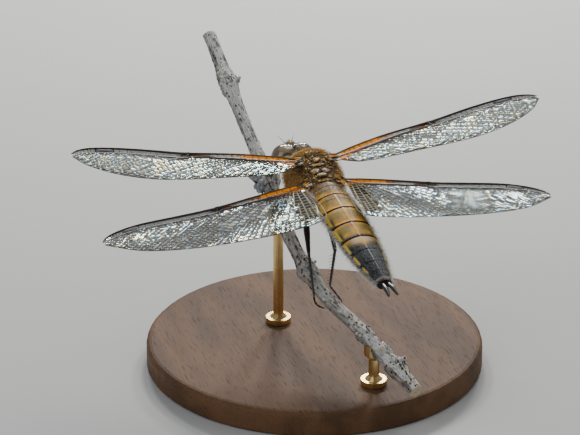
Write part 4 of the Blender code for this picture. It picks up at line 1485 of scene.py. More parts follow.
# %% Horn plates
PLATES = (  # place, radii, and turn about the upright axis in degrees; mirrored when x is not 0
    ((1.15, 4.15, 2.45), (1.05, 1.15, 0.55), -12), ((0.0, 2.35, 2.75), (0.95, 0.75, 0.6), 0),
    ((0.85, 3.1, 2.75), (0.55, 0.4, 0.35), 25), ((1.35, 2.4, 2.6), (0.45, 0.6, 0.4), 10),
    ((0.0, 1.15, 2.62), (1.45, 0.38, 0.35), 0), ((1.0, -0.25, 2.3), (0.85, 0.72, 0.48), -10),
    ((0.0, -1.55, 2.35), (0.85, 0.62, 0.5), 0), ((0.0, -2.55, 2.0), (1.5, 0.36, 0.3), 0),
    ((1.3, -1.6, 2.0), (0.45, 0.55, 0.35), -15), ((1.95, 3.3, 2.75), (0.45, 0.55, 0.3), 20),
    ((2.15, 2.45, 2.85), (0.38, 0.45, 0.26), 0), ((2.2, 1.55, 2.6), (0.35, 0.42, 0.24), -20),
    ((2.75, 3.0, 3.0), (0.42, 0.36, 0.24), 10), ((2.7, 2.1, 2.9), (0.34, 0.3, 0.2), 0),
    ((2.2, -0.9, 1.75), (0.48, 0.55, 0.3), 20), ((2.35, -1.9, 1.5), (0.4, 0.48, 0.26), 0),
    ((2.25, -2.9, 1.15), (0.36, 0.42, 0.24), -20), ((3.0, -1.35, 1.5), (0.42, 0.38, 0.24), 10),
    ((2.95, -2.35, 1.3), (0.34, 0.32, 0.2), 0), ((1.75, 0.55, 2.35), (0.4, 0.5, 0.28), 15),
)
SMALL_PLATES = 110


def horn_plate(centre, radii, turn, side=1):
    """One domed plate with its rise written on every corner."""
    fine = radii[0] > 0.35
    bm = ellipsoid((0, 0, 0), radii, 22 if fine else 10, 12 if fine else 6)
    rise = bm.verts.layers.float.new("rise")
    for vert in bm.verts:
        vert[rise] = vert.co.z / radii[2]
        swell = 1 + 0.35 * noise.noise(Vector(centre) + vert.co * 1.6)
        vert.co.x, vert.co.y = vert.co.x * swell, vert.co.y * swell
        vert.co.z = vert.co.z * 0.8 + 0.1 * noise.noise(Vector(centre) * 2 + vert.co * 2.2)
    x, y, z = centre
    turned = Matrix.Rotation(math.radians(-side * turn), 4, "Z")
    place = Matrix.Translation((side * x, y, z)) @ turned
    tilt = Matrix.Rotation(side * 0.18 * min(1.5, abs(x)), 4, "Y")
    return moved(bm, BODY @ place @ tilt)


f = Finish("back_plates")
place = f.place()
rise = f.attribute("rise")
soft = f.cloud(place, 0.7, 3)
fine = f.cloud(place, 0.14, 3)
tan = f.mix(f.step(soft, 0.3, 0.7), (0.28, 0.1, 0.006), (0.92, 0.54, 0.07))
tan = f.mix(f.step(fine, 0.5, 0.8) * 0.45, tan, (0.26, 0.11, 0.02))
edge = f.step(rise + (soft - 0.5) * 0.5, 0.66, 0.42)
crack = f.cells(f.shaken(place, 0.5, 0.25), 0.62, "DISTANCE_TO_EDGE")
seam = f.step(crack, 0.11, 0.04)
f.colour = f.mix(edge | seam * 0.9, tan, (0.018, 0.011, 0.007))
PLATE_HORN = f.shade(0.32 + fine * 0.2, f.bump(fine * 0.4 + f.step(crack, 0.0, 0.16), 0.05),
                     Coat_Weight=0.1, Coat_Roughness=0.12)

plates = bmesh.new()
for centre, radii, turn in PLATES:
    for side in ((1, -1) if centre[0] else (1,)):
        add_to(plates, horn_plate(centre, radii, turn, side))
chance = random.Random(91)
for _ in range(SMALL_PLATES):
    y = chance.uniform(-3.1, 4.6)
    angle = math.radians(90 + chance.uniform(-52, 52))
    point = thorax_point(y, angle)
    radii = [chance.uniform(0.12, 0.34), chance.uniform(0.09, 0.24), chance.uniform(0.1, 0.2)]
    add_to(plates, horn_plate(point + Vector((0, 0, chance.uniform(0.0, 0.22))), radii,
                              chance.uniform(-60, 60)))
add_piece("back_plates", plates, PLATE_HORN, "body_brown")

# %% [markdown]
# ## Head
# Most of a chaser's head is its two compound eyes, which meet in a short seam on top. In front of
# the seam is the small swollen vertex with three simple eyes, then the domed frons, the clypeus,
# the labrum and the lobes of the labium. Behind, a small plate called the occiput fills the notch.
# Each is a rounded mass, so each is an ellipsoid pulled into shape, with finer masses than the
# solids have. The eye's facets are far too many to model, so they are a fine bump under a gloss.

# %% Eyes
EYE_CENTRE, EYE_RADII = (1.5, 0.2, 0.1), (2.3, 2.2, 2.4)


def compound_eye(side):
    """One eye, flattened where it meets the other and hollowed a little behind."""
    bm = ellipsoid((0, 0, 0), EYE_RADII, 72, 48)
    home = bm.verts.layers.float_vector.new("home")
    for vert in bm.verts:
        across, y, z = (c / r for c, r in zip(vert.co, EYE_RADII))
        full = (abs(across) ** 3 + math.hypot(y, z) ** 3) ** (-1 / 3)
        vert.co *= 1 + (full - 1) * ease(0.1, 0.5, -across)
        vert.co.y += bell(vert.co.y, -2.1, 0.5) * bell(vert.co.z, 0.1, 0.9) * 0.12
        vert.co += Vector(EYE_CENTRE)
        vert.co.x = max(vert.co.x, 0.05)
        vert[home] = vert.co
        vert.co.x *= side
    if side < 0:
        bmesh.ops.reverse_faces(bm, faces=bm.faces)
    return moved(bm, HEAD)


f = Finish("eye_lens")
place = f.place()
_, y, z = f.split(f.attribute("home", "Vector"))
soft = f.step(f.cloud(place, 1.5, 3), 0.28, 0.72)
facets = f.cells(place, 0.055, randomness=0.25)
level = z + (soft - 0.5) * 0.8
brown = f.mix(soft, (0.04, 0.03, 0.022), (0.34, 0.25, 0.12))
grey = f.mix(soft, (0.1, 0.095, 0.07), (0.38, 0.35, 0.24))
pale = f.mix(soft, (0.4, 0.4, 0.24), (0.56, 0.54, 0.36))
f.colour = f.mix(f.step(level, 0.9, -0.4), brown, grey)
f.paint(f.step(level, -0.6, -1.6), pale)
spots = f.step(f.cells(place, 0.55), 0.42, 0.22) * f.step(level, 1.0, -0.8)
f.paint(spots * 0.55, (0.05, 0.04, 0.03))
line = f.step(abs(y + 1.3), 0.14, 0.05)
f.paint(line * 0.6, (0.05, 0.035, 0.02))
# painted reflection: a pale band along the rear rim of the eye
f.paint(f.step(y, -1.4, -1.62), (0.78, 0.66, 0.42))
LENS = f.shade(0.16 + soft * 0.08, f.bump(facets, 0.008, 0.5), Coat_Weight=0.9,
               Coat_Roughness=0.05, IOR=1.56)

for side, hand in SIDES:
    add_piece(f"compound_eye_{hand}", compound_eye(side), LENS, "eye", f"eye_{hand}")

# %% [markdown]
# ## Head: face and feelers
# The face is pale horn with dark bands, darker behind. Every mass remembers its place in the head's
# frame, so one finish with other colours serves them all. The feelers are thin bristles that a
# thick first joint carries.

# %% Face, mouth and back of the head
def face_finish(name, low, high, shade_at, shade):
    """Pale horn with a darker band; shade_at is the height of the band's middle."""
    f = Finish(name)
    place = f.place()
    _, _, z = f.split(f.attribute("home", "Vector"))
    soft = f.cloud(place, 0.6, 3)
    pores = f.cells(place, 0.11)
    f.colour = f.mix(soft, low, high)
    band = f.step(abs(z - shade_at + (soft - 0.5) * 0.2), 0.3, 0.14)
    f.paint(band * 0.8, shade)
    f.paint(f.step(pores, 0.3, 0.1) * 0.55, (0.1, 0.07, 0.03))
    return f.shade(0.34 + soft * 0.15, f.bump(pores, 0.02), Coat_Weight=0.3, Coat_Roughness=0.2)


def mass(centre, radii, segments=32, rings=20, dent=None):
    """A rounded mass of the head, with its place written on it; dent moves each point."""
    bm = ellipsoid(centre, radii, segments, rings)
    home = bm.verts.layers.float_vector.new("home")
    for vert in bm.verts:
        if dent:
            vert.co = dent(vert.co.copy())
        vert[home] = vert.co
    return moved(bm, HEAD)


def frons_dent(p):
    """A shallow pit and groove down the middle of the frons."""
    p.y -= 0.14 * bell(p.x, 0, 0.22) * ease(-0.4, 0.5, p.z)
    return p


FRONS = face_finish("frons_horn", (0.34, 0.3, 0.1), (0.52, 0.46, 0.2),
                    1.15, (0.05, 0.035, 0.015))
MOUTH_HORN = face_finish("mouth_horn", (0.4, 0.31, 0.1), (0.58, 0.48, 0.2),
                         -2.05, (0.03, 0.02, 0.01))
CAPSULE = face_finish("capsule_horn", (0.035, 0.028, 0.02), (0.1, 0.075, 0.045),
                      -0.6, (0.5, 0.38, 0.1))
VERTEX = face_finish("vertex_horn", (0.48, 0.26, 0.07), (0.72, 0.46, 0.18),
                     1.0, (0.03, 0.02, 0.01))
CAPSULE_MASS = ((0, -0.6, -0.3), (2.65, 1.85, 2.2))
FRONS_MASS = ((0, 2.1, 0.55), (1.32, 1.15, 1.0))
VERTEX_MASS = ((0, 1.95, 1.55), (0.6, 0.52, 0.55))
add_piece("head_capsule", mass(*CAPSULE_MASS), CAPSULE, "body_brown", "head")
frons = add_to(mass(*FRONS_MASS, dent=frons_dent), mass((0, 2.55, -0.75), (1.22, 0.85, 0.62)))
add_piece("frons_and_clypeus", frons, FRONS, "face", "face")
mouth = add_to(mass((0, 2.2, -1.75), (1.15, 0.85, 0.62)), mass((0, 1.0, -2.75), (0.75, 1.4, 0.6)),
               *(mass((x, 0.95, -2.45), (0.8, 1.45, 0.85)) for x in (0.85, -0.85)),
               *(mass((x, 1.7, -1.45), (0.42, 0.7, 0.75)) for x in (1.25, -1.25)))
add_piece("labrum_and_labium", mouth, MOUTH_HORN, "face", "mouthparts")
crown = add_to(mass(*VERTEX_MASS), mass((0, -1.35, 1.38), (0.5, 0.45, 0.4)))
add_piece("vertex_and_occiput", crown, VERTEX, "face")
beads = add_to(mass((0, 2.42, 1.47), (0.19, 0.15, 0.19), 16, 10),
               *(mass((x, 2.1, 1.5), (0.16, 0.16, 0.17), 16, 10) for x in (0.54, -0.54)))
add_piece("simple_eyes", beads, LENS, "eye")
for side, hand in SIDES:
    points = [(side * x, y, z) for x, y, z in ((0.5, 2.3, 0.95), (0.64, 2.9, 1.25),
                                              (1.0, 3.75, 1.55), (1.6, 4.8, 1.7))]
    feeler = finger(points, (0.17, 0.065, 0.04, 0.02), around=8, along=16)
    add_to(feeler, ellipsoid((side * 0.56, 2.6, 1.08), (0.17, 0.22, 0.17), 12, 8))
    add_piece(f"feeler_{hand}", moved(feeler, HEAD), HORN, "leg_black", f"antenna_{hand}")

# %% [markdown]
# ## The twig
# The perch is a thin grey twig with knots, flaking bark and two cut ends of bare wood. A drum of
# many bands follows the twig's line. Its corners are pushed out and in by noise that is stretched
# along the twig, so the bark has long wrinkles, and more strongly at the knots. The colour comes
# from noise too: a painted shade darkens its left and lower side, and there are dark furrows,
# rust-rimmed pits, cracks and lichen.

# %% Bark
def bark_point(y, angle):
    """A point of the bark at y, at an angle round the twig from its top."""
    top, right = twig_cross(max(TWIG_START, y - 0.6), min(TWIG_END, y + 0.6))
    ring = Vector((math.cos(angle), math.sin(angle), 0))
    knot = sum(bell(y, at, half * 1.1) for at, _, half in TWIG_KNOTS)
    long_lines = noise.noise(Vector((ring.x * 3.6, ring.y * 3.6, y * 0.16)))
    lumps = noise.noise(Vector((ring.x * 1.6, ring.y * 1.6, y * 0.8 + 9)))
    flakes = noise.noise(Vector((ring.x * 6.5, ring.y * 6.5, y * 1.6)))
    radius = twig_radius(y) - 0.08 + 0.17 * long_lines + (0.07 + 0.3 * knot) * lumps
    radius += (0.055 + 0.14 * knot) * flakes
    return twig_axis(y) + (top * ring.x + right * ring.y) * radius


def build_bark():
    """The twig, with each corner's turn round it and place along it written on the mesh."""
    bm = drum(40, 230)
    run = bm.verts.layers.float_vector.new("run")
    for vert in bm.verts:
        angle = math.atan2(vert.co.y, vert.co.x)
        y = TWIG_START + (TWIG_END - TWIG_START) * (vert.co.z + 0.5)
        vert.co = bark_point(y, angle)
        vert[run] = (math.cos(angle), math.sin(angle), y)
    caps = [f for f in bm.faces if len(f.verts) > 4]
    bmesh.ops.inset_region(bm, faces=caps, thickness=0.16, depth=-0.05)
    bmesh.ops.recalc_face_normals(bm, faces=bm.faces)
    return bm


f = Finish("grey_bark")
place = f.place()
run = f.attribute("run", "Vector")
top, right, y = f.split(run)
wrinkle = f.cloud(f.stretch(run, (1.6 * MM, 1.6 * MM, 0.22 * MM)), 0.45, 5, 0.65)
patch = f.cloud(place, 2.6, 4, 0.6)
fleck = f.cloud(place, 0.28, 3, 0.6)
pits = f.cells(f.stretch(place, (1, 0.7, 0.7)), 0.62)
furrow = f.cloud(f.stretch(run, (1.25 * MM, 1.25 * MM, 0.1 * MM)), 0.45, 4, 0.6)
light = f.mix(fleck, (0.56, 0.545, 0.515), (0.95, 0.935, 0.9))
dark = f.mix(fleck, (0.06, 0.055, 0.05), (0.22, 0.2, 0.18))
# painted shade: the bark is lighter on top and on the insect's right, and darker on the left and
# below
lit_side = top * 0.45 + right * 0.75 + (patch - 0.5) * 1.6 + (furrow - 0.5) * 1.2
shaded = f.mix(fleck, (0.14, 0.135, 0.125), (0.4, 0.39, 0.37))
f.colour = f.mix(f.step(lit_side, -0.15, -0.8) * 0.85, light, shaded)
f.paint(f.step(patch + (wrinkle - 0.5) * 0.9, 0.44, 0.33), dark)
f.paint(f.step(furrow, 0.44, 0.36) * 0.75, dark)
low = f.step(y, 6.0, -2.0)
rust = f.step(pits, 0.4, 0.3) * low
f.paint(rust * 0.55, (0.46, 0.27, 0.08))
hole = f.step(pits, 0.29, 0.17)
f.paint(hole * 0.92, (0.014, 0.012, 0.011))
crack = f.step(abs(wrinkle - 0.5), 0.035, 0.008)
f.paint(crack * 0.55, (0.035, 0.03, 0.026))
lichen = f.step(f.cloud(place, 1.7, 3, 0.6), 0.64, 0.7) * f.step(fleck, 0.35, 0.6)
f.paint(lichen * 0.75, (0.52, 0.42, 0.08))
middle, half = (TWIG_START + TWIG_END) / 2, (TWIG_END - TWIG_START) / 2
cut = f.step(abs(y - middle), half - 0.08, half - 0.02)
f.paint(cut * 0.9, f.mix(fleck, (0.42, 0.31, 0.17), (0.74, 0.62, 0.42)))
height = wrinkle * 0.6 + furrow * 0.6 + fleck * 0.3 - hole * 0.8
BARK = f.shade(0.82, f.bump(height, 0.16, 0.9), Specular_IOR_Level=0.3)

add_piece("twig_bark", build_bark(), BARK, "bark", "perch_twig", sharp=70)

# %% [markdown]
# ## The twig: buds, gnarls and side shoots
# A bud is a core with thin scales turned round it like roof tiles. A gnarl is a crowd of small
# balls, half sunk in the bark at a knot, and a side shoot is a broken finger. Noise moves every
# corner a little, so that none of them looks turned.

# %% Bud, scales and broken side shoots
def outward(y, angle, sunk):
    """A place on the twig sunk under the bark, with the ways out and along from there."""
    base = on_twig(y, angle, -sunk)
    out = (base - twig_axis(y)).normalized()
    return base, out, (twig_axis(y + 1) - twig_axis(y - 1)).normalized()


def bud(y, angle, length, width, count, seed):
    """A bud of overlapping scales that leans along the twig."""
    chance = random.Random(seed)
    base, out, along = outward(y, angle, 0.25)
    axis = (out * 0.75 + along * 0.65).normalized()
    stand = Matrix.Translation(base) @ axis.to_track_quat("Z", "Y").to_matrix().to_4x4()
    core = (width * 0.62, width * 0.62, length * 0.5)
    scales = [moved(ellipsoid((0, 0, length * 0.42), core, 14, 10), stand)]
    for i in range(count):
        lift = i / count
        spin = i * 2.4 + chance.random() * 0.5
        scale = ellipsoid((0, 0, 0), (width * 0.5, 0.11, length * 0.3), 12, 8)
        for vert in scale.verts:
            vert.co.y += 0.28 * (vert.co.x / width) ** 2 * -1 + 0.12 * (vert.co.z / length) ** 2
        reach = width * (0.62 - 0.38 * lift) + 0.04
        place = Matrix.Rotation(spin, 4, "Z") @ Matrix.Translation(
            (0, reach, length * (0.1 + 0.68 * lift))) @ Matrix.Rotation(0.3 + 0.25 * lift, 4, "X")
        scales.append(moved(scale, stand @ place))
    bm = add_to(bmesh.new(), *scales)
    for vert in bm.verts:
        vert.co += noise.noise_vector(vert.co * 1.8) * 0.05
    return bm


def burr(y, angle, count, reach, size, seed, low=-0.25, high=0.06):
    """A crowd of small gnarls round one place, sunk or raised on the bark between low and high."""
    chance = random.Random(seed)
    gnarls = []
    for _ in range(count):
        at = y + chance.gauss(0, reach)
        turn = angle + math.degrees(chance.gauss(0, reach * 0.42))
        middle = on_twig(at, turn, chance.uniform(low, high))
        radii = [size * chance.uniform(0.6, 1.2) for _ in range(3)]
        gnarls.append(ellipsoid(middle, radii, 18, 12))
    bm = add_to(bmesh.new(), *gnarls)
    for vert in bm.verts:
        rough = noise.noise_vector(vert.co * 5.0) * 0.09
        vert.co += noise.noise_vector(vert.co * 1.7) * size * 0.7 + rough
    return bm


def side_shoot(y, angle, length, thick, lean):
    """The stub of a broken side shoot."""
    base, out, along = outward(y, angle, 0.35)
    tip = base + (out + along * lean).normalized() * length
    return finger([base, base.lerp(tip, 0.55) + along * 0.12, tip],
                  (thick * 1.35, thick, thick * 0.9), around=12, along=12)


f = Finish("bud_scales")
place = f.place()
soft = f.cloud(place, 0.8, 4)
fine = f.cloud(place, 0.15, 3)
grey = f.mix(soft, (0.16, 0.18, 0.21), (0.62, 0.65, 0.7))
f.colour = f.mix(f.step(fine, 0.55, 0.75) * 0.5, grey, (0.8, 0.8, 0.8))
moss = f.step(f.cloud(place, 1.1, 2), 0.6, 0.68)
f.paint(moss * 0.6, (0.5, 0.4, 0.08))
BUD_SCALES = f.shade(0.72, f.bump(fine * 0.5 + soft, 0.07))

buds = bud(12.6, -78, 2.5, 1.0, 9, 1)
add_to(buds, bud(13.9, 150, 1.6, 0.7, 6, 2), bud(11.6, 20, 1.4, 0.6, 6, 5),
       bud(-4.6, -35, 1.1, 0.5, 5, 3), bud(29.8, 60, 1.3, 0.55, 5, 4),
       burr(11.6, -75, 26, 0.95, 0.42, 6, -0.1, 0.75))
add_piece("twig_buds", buds, BUD_SCALES, "bark")
gnarls = add_to(burr(-4.2, -15, 44, 0.95, 0.26, 7), burr(-22.6, 25, 26, 0.45, 0.22, 8),
                burr(-18.2, 10, 12, 0.5, 0.18, 9), burr(-26.2, -10, 22, 0.9, 0.24, 14),
                burr(30.2, -25, 34, 0.9, 0.26, 10), burr(13.0, -30, 40, 1.2, 0.28, 12))
run = gnarls.verts.layers.float_vector.new("run")
for vert in gnarls.verts:
    off = (vert.co - twig_axis(vert.co.y)).normalized()
    vert[run] = (off.z, off.x, vert.co.y)
add_piece("twig_gnarls", gnarls, BARK, "bark", sharp=70)
shoots = side_shoot(-25.9, 15, 1.5, 0.34, -0.5)
add_to(shoots, side_shoot(-18.4, -70, 0.9, 0.26, 0.6), side_shoot(31.0, -50, 1.2, 0.3, 0.5),
       side_shoot(-22.6, 120, 0.8, 0.22, 0.3), side_shoot(-3.3, 75, 0.9, 0.26, 0.4))
run = shoots.verts.layers.float_vector.new("run")
for vert in shoots.verts:
    vert.co += noise.noise_vector(vert.co * 2.2) * 0.07
    vert[run] = (vert.co.x, vert.co.z, vert.co.y)
add_piece("twig_side_shoots", shoots, BARK, "bark")

# %% [markdown]
# ## The stand
# The base is a turned disc of oiled walnut and the rods are lacquered brass. Their solids already
# have the right shapes, so they stay and only take finishes. Wood grain is noise drawn out along
# one axis, with darker bands where a slow wave crosses it and short open pores on top.

# %% Walnut and brass
f = Finish("oiled_walnut")
place = f.place()
warp = f.cloud(f.stretch(place, (1, 0.18, 1)), 9, 3)
x, y, _ = f.split(place)
rings = f.maths("SINE", x / (2.6 * MM) + warp * 17 + y / (21 * MM))
fine = f.cloud(f.stretch(place, (1, 0.05, 1)), 0.35, 4, 0.7)
pores = f.step(f.cloud(f.stretch(place, (1, 0.045, 1)), 0.16, 2), 0.6, 0.68)
f.colour = f.mix(rings * 0.5 + 0.5, (0.05, 0.022, 0.01), (0.15, 0.072, 0.032))
f.paint(fine * 0.7, (0.21, 0.11, 0.05))
f.paint(pores * 0.75, (0.018, 0.009, 0.005))
WALNUT = f.shade(0.58 + fine * 0.16, f.bump(fine * 0.5 - pores, 0.03, 0.7),
                 Specular_IOR_Level=0.28)

f = Finish("lacquered_brass")
place = f.place()
brushed = f.cloud(f.stretch(place, (1, 1, 0.04)), 0.1, 3, 0.6)
stain = f.cloud(place, 3.0, 4, 0.6)
f.colour = f.mix(f.step(stain, 0.4, 0.75), (0.8, 0.58, 0.25), (0.55, 0.36, 0.13))
f.paint(brushed * 0.35, (0.9, 0.7, 0.36))
BRASS = f.shade(0.2 + stain * 0.2, f.bump(brushed, 0.006), Metallic=1.0, Coat_Weight=0.2,
                Coat_Roughness=0.1)

for node, material in (("stand_base", WALNUT), ("stand_rod_front", BRASS),
                       ("stand_rod_rear", BRASS)):
    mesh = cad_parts[node].data
    mesh.materials.clear()
    mesh.materials.append(material)
    print(node, "is finished in", material.name)

# %% [markdown]
# ## Hair
# The coat could be a particle system, but then it would not be a solid. Instead one hair is a
# three-sided spike, and thousands of copies of it are laid over the skin and joined in one mesh.
# Each copy starts at a root on the skin, stands out along the skin's normal, and bends over the
# way the coat lies. Copies of one shape are quickest as whole arrays of numbers. Each hair also
# has its own small patch on a map called OFBake, at the place its root has on an unwrap of the
# skin.

# %% One hair, copied many times
def hair_template(bands=3):
    """One upright three-sided spike: unit radius at the root, unit length."""
    bm = drum(3, bands)
    for vert in bm.verts:
        vert.co.z += 0.5
        slim = 1 - 0.93 * vert.co.z ** 1.3
        vert.co.x *= slim
        vert.co.y *= slim
    bmesh.ops.triangulate(bm, faces=bm.faces)
    points = np.array([tuple(v.co) for v in bm.verts])
    faces = np.array([[v.index for v in f.verts] for f in bm.faces])
    bm.free()
    return points, faces


SPIKE = hair_template()
print("one hair is", len(SPIKE[1]), "triangles")


# %% Grow a coat of hair
TOUSLE = 0.16                   # how far the hairs stray from the normal
PATCH = 0.003                   # a hair's patch on the map
HAIR_SUNK = 0.03                # how deep a root starts in the skin


def unit(vectors):
    return vectors / (np.linalg.norm(vectors, axis=1)[:, None] + 1e-12)


def hair(place, here, out, lie, length, width, unwrap):
    """One hair of a coat, its place and its ways given in the frame of that part."""
    turn = place.to_3x3()
    return [(tuple(place @ here), tuple(turn @ out), tuple(turn @ lie), length, width, unwrap,
             tuple(here))]


def grow_coat(name, rule, count, seeds, material, slot):
    """Gather hairs from a rule, copy the spike to every root and join the copies."""
    chance, hairs = random.Random(seeds[0]), []
    while len(hairs) < count:
        hairs += rule(chance)
    points, faces = SPIKE
    chance = np.random.default_rng(seeds[1])
    roots, outs, lies, lengths, widths, unwrap, homes = (np.array(part) for part in zip(*hairs))
    corners = len(points)
    outs = unit(unit(outs) + chance.normal(0, TOUSLE, outs.shape))
    side = unit(np.cross(outs, chance.normal(0, 1, outs.shape)))
    other = np.cross(outs, side)
    rise = points[:, 2][None, :, None]
    flat = points[:, 0][None, :, None] * side[:, None, :] \
        + points[:, 1][None, :, None] * other[:, None, :]
    spots = roots[:, None, :] - outs[:, None, :] * HAIR_SUNK
    spots = spots + outs[:, None, :] * rise * lengths[:, None, None]
    spots = spots + lies[:, None, :] * rise ** 2 * lengths[:, None, None]
    spots = spots + flat * widths[:, None, None]
    tris = (faces[None, :, :] + (np.arange(count) * corners)[:, None, None]).reshape(-1, 3)
    mesh = bpy.data.meshes.new(name)
    mesh.from_pydata((spots.reshape(-1, 3) * MM).tolist(), [], tris.tolist())
    bake = mesh.uv_layers.new(name="OFBake")
    patch = (points[:, :2] * 0.5 + 0.5) * 0.5 + points[:, 2:3] * 0.5
    places = unwrap[:, None, :] + (patch[None, :, :] - 0.5) * PATCH
    corner = np.zeros(len(mesh.loops), dtype=np.int32)
    mesh.loops.foreach_get("vertex_index", corner)
    bake.data.foreach_set("uv", places.reshape(-1, 2)[corner].astype(np.float32).ravel())
    for key, kind, field, values in (
            ("rise", "FLOAT", "value", np.broadcast_to(points[:, 2], (count, corners))),
            ("tone", "FLOAT", "value", np.repeat(chance.random(count), corners)),
            ("home", "FLOAT_VECTOR", "vector", np.repeat(homes, corners, axis=0))):
        written = mesh.attributes.new(key, kind, "POINT")
        written.data.foreach_set(field, values.astype(np.float32).ravel())
    mesh.update()
    print(name, "has", count, "hairs and", len(tris), "triangles")
    return hang(name, mesh, material, slot, sharp=180)


def hair_finish(name, tone_low, tone_high, tip, marks=0.0):
    """Fine hair: its root takes the skin's markings and its tip is paler."""
    f = Finish(name)
    rise, tone = f.attribute("rise"), f.attribute("tone")
    f.colour = f.mix(tone, tone_low, tone_high)
    if marks:
        skin = thorax_colours(f, f.attribute("home", "Vector"))
        f.paint((1 - rise) * marks, skin)
    f.paint(f.step(rise, 0.35, 1.0) * 0.7, tip)
    fleck = f.cloud(f.place(), 0.3, 2)
    return f.shade(0.4 + fleck * 0.15, Specular_IOR_Level=0.6)


GOLD_HAIR = hair_finish("golden_hair", (0.58, 0.3, 0.045), (0.9, 0.6, 0.16),
                        (1.0, 0.9, 0.58), 0.4)
PALE_HAIR = hair_finish("pale_hair", (0.62, 0.59, 0.52), (0.88, 0.85, 0.78), (0.97, 0.96, 0.93))
BLACK_HAIR = hair_finish("black_hair", (0.02, 0.016, 0.013), (0.06, 0.045, 0.035),
                         (0.16, 0.12, 0.09))


# %% [markdown]
# ## Hair: the coats
# Each coat has a rule that draws a place on its skin by seeded chance, may leave it bare, and
# says how the hair lies there. Golden hair is dense on the thorax and thins out over the horn
# plates, with an extra coat on the shoulders and short hair on the collar. The abdomen has a pale
# fringe along its sides and short down elsewhere, longer on the first rings. The head has a nape,
# a face and a crown.

# %% Thorax coats
BACK_BARE = 0.72                # how much of the hair is left out between the wings


def surface_frame(rule, at, angle, step=0.03, core=-1):
    """A point of a skin, its normal away from a core at that height, and the way on along it."""
    here = rule(at, angle)
    around = rule(at, angle + 0.02) - here
    along = rule(at + step, angle) - here
    out = around.cross(along).normalized()
    if out.dot(here - Vector((0, here.y, core))) < 0:
        out = -out
    return here, out, along.normalized()


def thorax_hair(first, last, chance):
    """A hair on the thorax between two places along it."""
    y = first + (last - first) * chance.random()
    angle = math.tau * chance.random()
    here, out, ahead = surface_frame(thorax_point, y, angle)
    on_back = ease(1.2, 2.2, here.z) * (1 - ease(3.4, 4.2, y))
    if chance.random() < on_back * BACK_BARE:
        return []
    length = (0.8 + 0.55 * chance.random()) * (1 - 0.35 * on_back)
    length *= 1 - 0.5 * ease(4.6, 6.4, y) * ease(-0.5, 1.5, here.z)
    sway = Vector((0.3 * (chance.random() - 0.5), 0, -0.1))
    lie = -ahead * (0.35 + 0.3 * chance.random()) + sway - out * 0.18
    return hair(BODY, here, out, lie, length, 0.026 + 0.012 * chance.random(), (
        0.02 + 0.46 * (angle / math.tau % 1), 0.02 + 0.9 * (y - SKIN_FIRST) / 10.6))


def neck_hair(chance):
    """A short hair on the two rings of the collar."""
    y, angle = 7.35 + 1.5 * chance.random(), math.tau * chance.random()
    here, out, ahead = surface_frame(lambda y, a: trunk_point(COLLAR, y, a, 0.1), y, angle)
    length = 0.36 + 0.3 * chance.random()
    return hair(BODY, here, out, ahead * 0.35 - out * 0.1, length, 0.02, (
        0.02 + 0.9 * (angle / math.tau % 1), 0.02 + 0.9 * (y - COLLAR_FIRST) / 1.6))


for name, rule, count, seeds in (
        ("thorax_coat", partial(thorax_hair, -3.2, 7.0), 8200, (11, 21)),
        ("shoulder_coat", partial(thorax_hair, 5.6, 7.22), 2600, (12, 22)),
        ("neck_coat", neck_hair, 1100, (13, 23))):
    grow_coat(name, rule, count, seeds, GOLD_HAIR, "body_brown")


# %% Abdomen coats
FURRED_END = 4.6                # the hair is long on the abdomen before this, in millimetres
SHELL = partial(abdomen_point, scale=0.995)


def fringe_hair(chance):
    """A long hair of the fringe along the abdomen's sides."""
    distance = 0.3 + 26.0 * chance.random()
    side = chance.choice((-1, 1))
    level = chance.gauss(0, 0.16) - 0.06
    angle = level if side > 0 else math.pi - level
    here, out, rear = surface_frame(SHELL, distance, angle, 0.05, 0)
    length = 0.55 + 0.6 * chance.random() ** 2
    stray = Vector([chance.uniform(-0.3, 0.3) for _ in range(3)])
    lie = rear * (0.2 + 0.7 * chance.random()) - out * 0.1 + stray
    return hair(ABDOMEN, here, out, lie, length, 0.03, (
        0.52 + 0.44 * (angle / math.tau % 1), 0.02 + 0.9 * distance / 27))


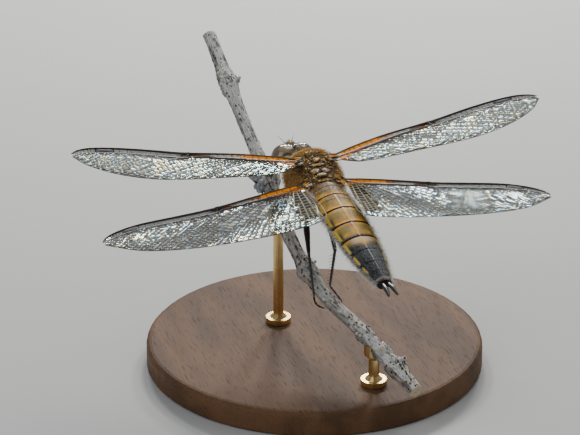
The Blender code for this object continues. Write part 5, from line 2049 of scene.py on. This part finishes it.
def down_hair(chance):
    """A hair of the abdomen's down: long on the first rings and short over the dark ones."""
    distance = 0.3 + 26.0 * chance.random() ** 0.7
    side = chance.choice((-1, 1))
    level = chance.uniform(-1.2, 1.45)
    angle = level if side > 0 else math.pi - level
    if FURRED_END < distance < 17 and chance.random() < 0.8:
        return []
    if distance > FURRED_END and chance.random() < 0.1:
        return []
    here, out, rear = surface_frame(SHELL, distance, angle, 0.05, 0)
    length = 0.2 + 0.16 * chance.random()
    if distance < FURRED_END:
        length *= 2.4 + 1.2 * (distance < 2.0)
    lie = rear * (0.2 + 0.7 * chance.random()) - out * 0.1
    return hair(ABDOMEN, here, out, lie, length, 0.018, (
        0.52 + 0.44 * (angle / math.tau % 1), 0.02 + 0.9 * distance / 27))


grow_coat("abdomen_fringe", fringe_hair, 2300, (31, 32), PALE_HAIR, "abdomen_dark")
grow_coat("abdomen_down", down_hair, 3200, (41, 42), PALE_HAIR, "abdomen_dark")


# %% Head coats
def head_hair(centre, radii, keep, length, width, chance):
    """A hair over one rounded mass of the head, where the rule keeps it."""
    centre, radii = Vector(centre), Vector(radii)
    way = Vector([chance.gauss(0, 1) for _ in range(3)]).normalized()
    here = centre + Vector([a * b for a, b in zip(way, radii)])
    if not keep(here):
        return []
    out = Vector([a / b for a, b in zip(way, radii)]).normalized()
    rear = Vector((0, -0.5, -0.35))
    lie = (rear - out * rear.dot(out)) * 0.6
    return hair(HEAD, here, out, lie, length * (0.7 + 0.6 * chance.random()), width, (
        0.02 + 0.9 * (math.atan2(way.x, way.y) / math.tau + 0.5), 0.02 + 0.9 * (way.z * 0.5 + 0.5)))


for name, seed, count, facts, material, slot in (
        ("nape_coat", 51, 900, (*CAPSULE_MASS, lambda p: p.y < -1.3, 0.62, 0.018),
         GOLD_HAIR, "body_brown"),
        ("face_coat", 61, 420, (*FRONS_MASS, lambda p: p.y > 2.2, 0.34, 0.013),
         BLACK_HAIR, "face"),
        ("crown_tuft", 71, 160, (*VERTEX_MASS, lambda p: p.z > 1.65, 0.45, 0.014),
         BLACK_HAIR, "face"),
        ("collar_coat", 81, 420, ((1.1, -2.2, 1.0), (2.0, 1.0, 2.0), lambda p: p.z > 0.2,
                                  0.42, 0.016), GOLD_HAIR, "body_brown")):
    grow_coat(name, partial(head_hair, *facts), count, (seed, seed + 1), material, slot)

# %% [markdown]
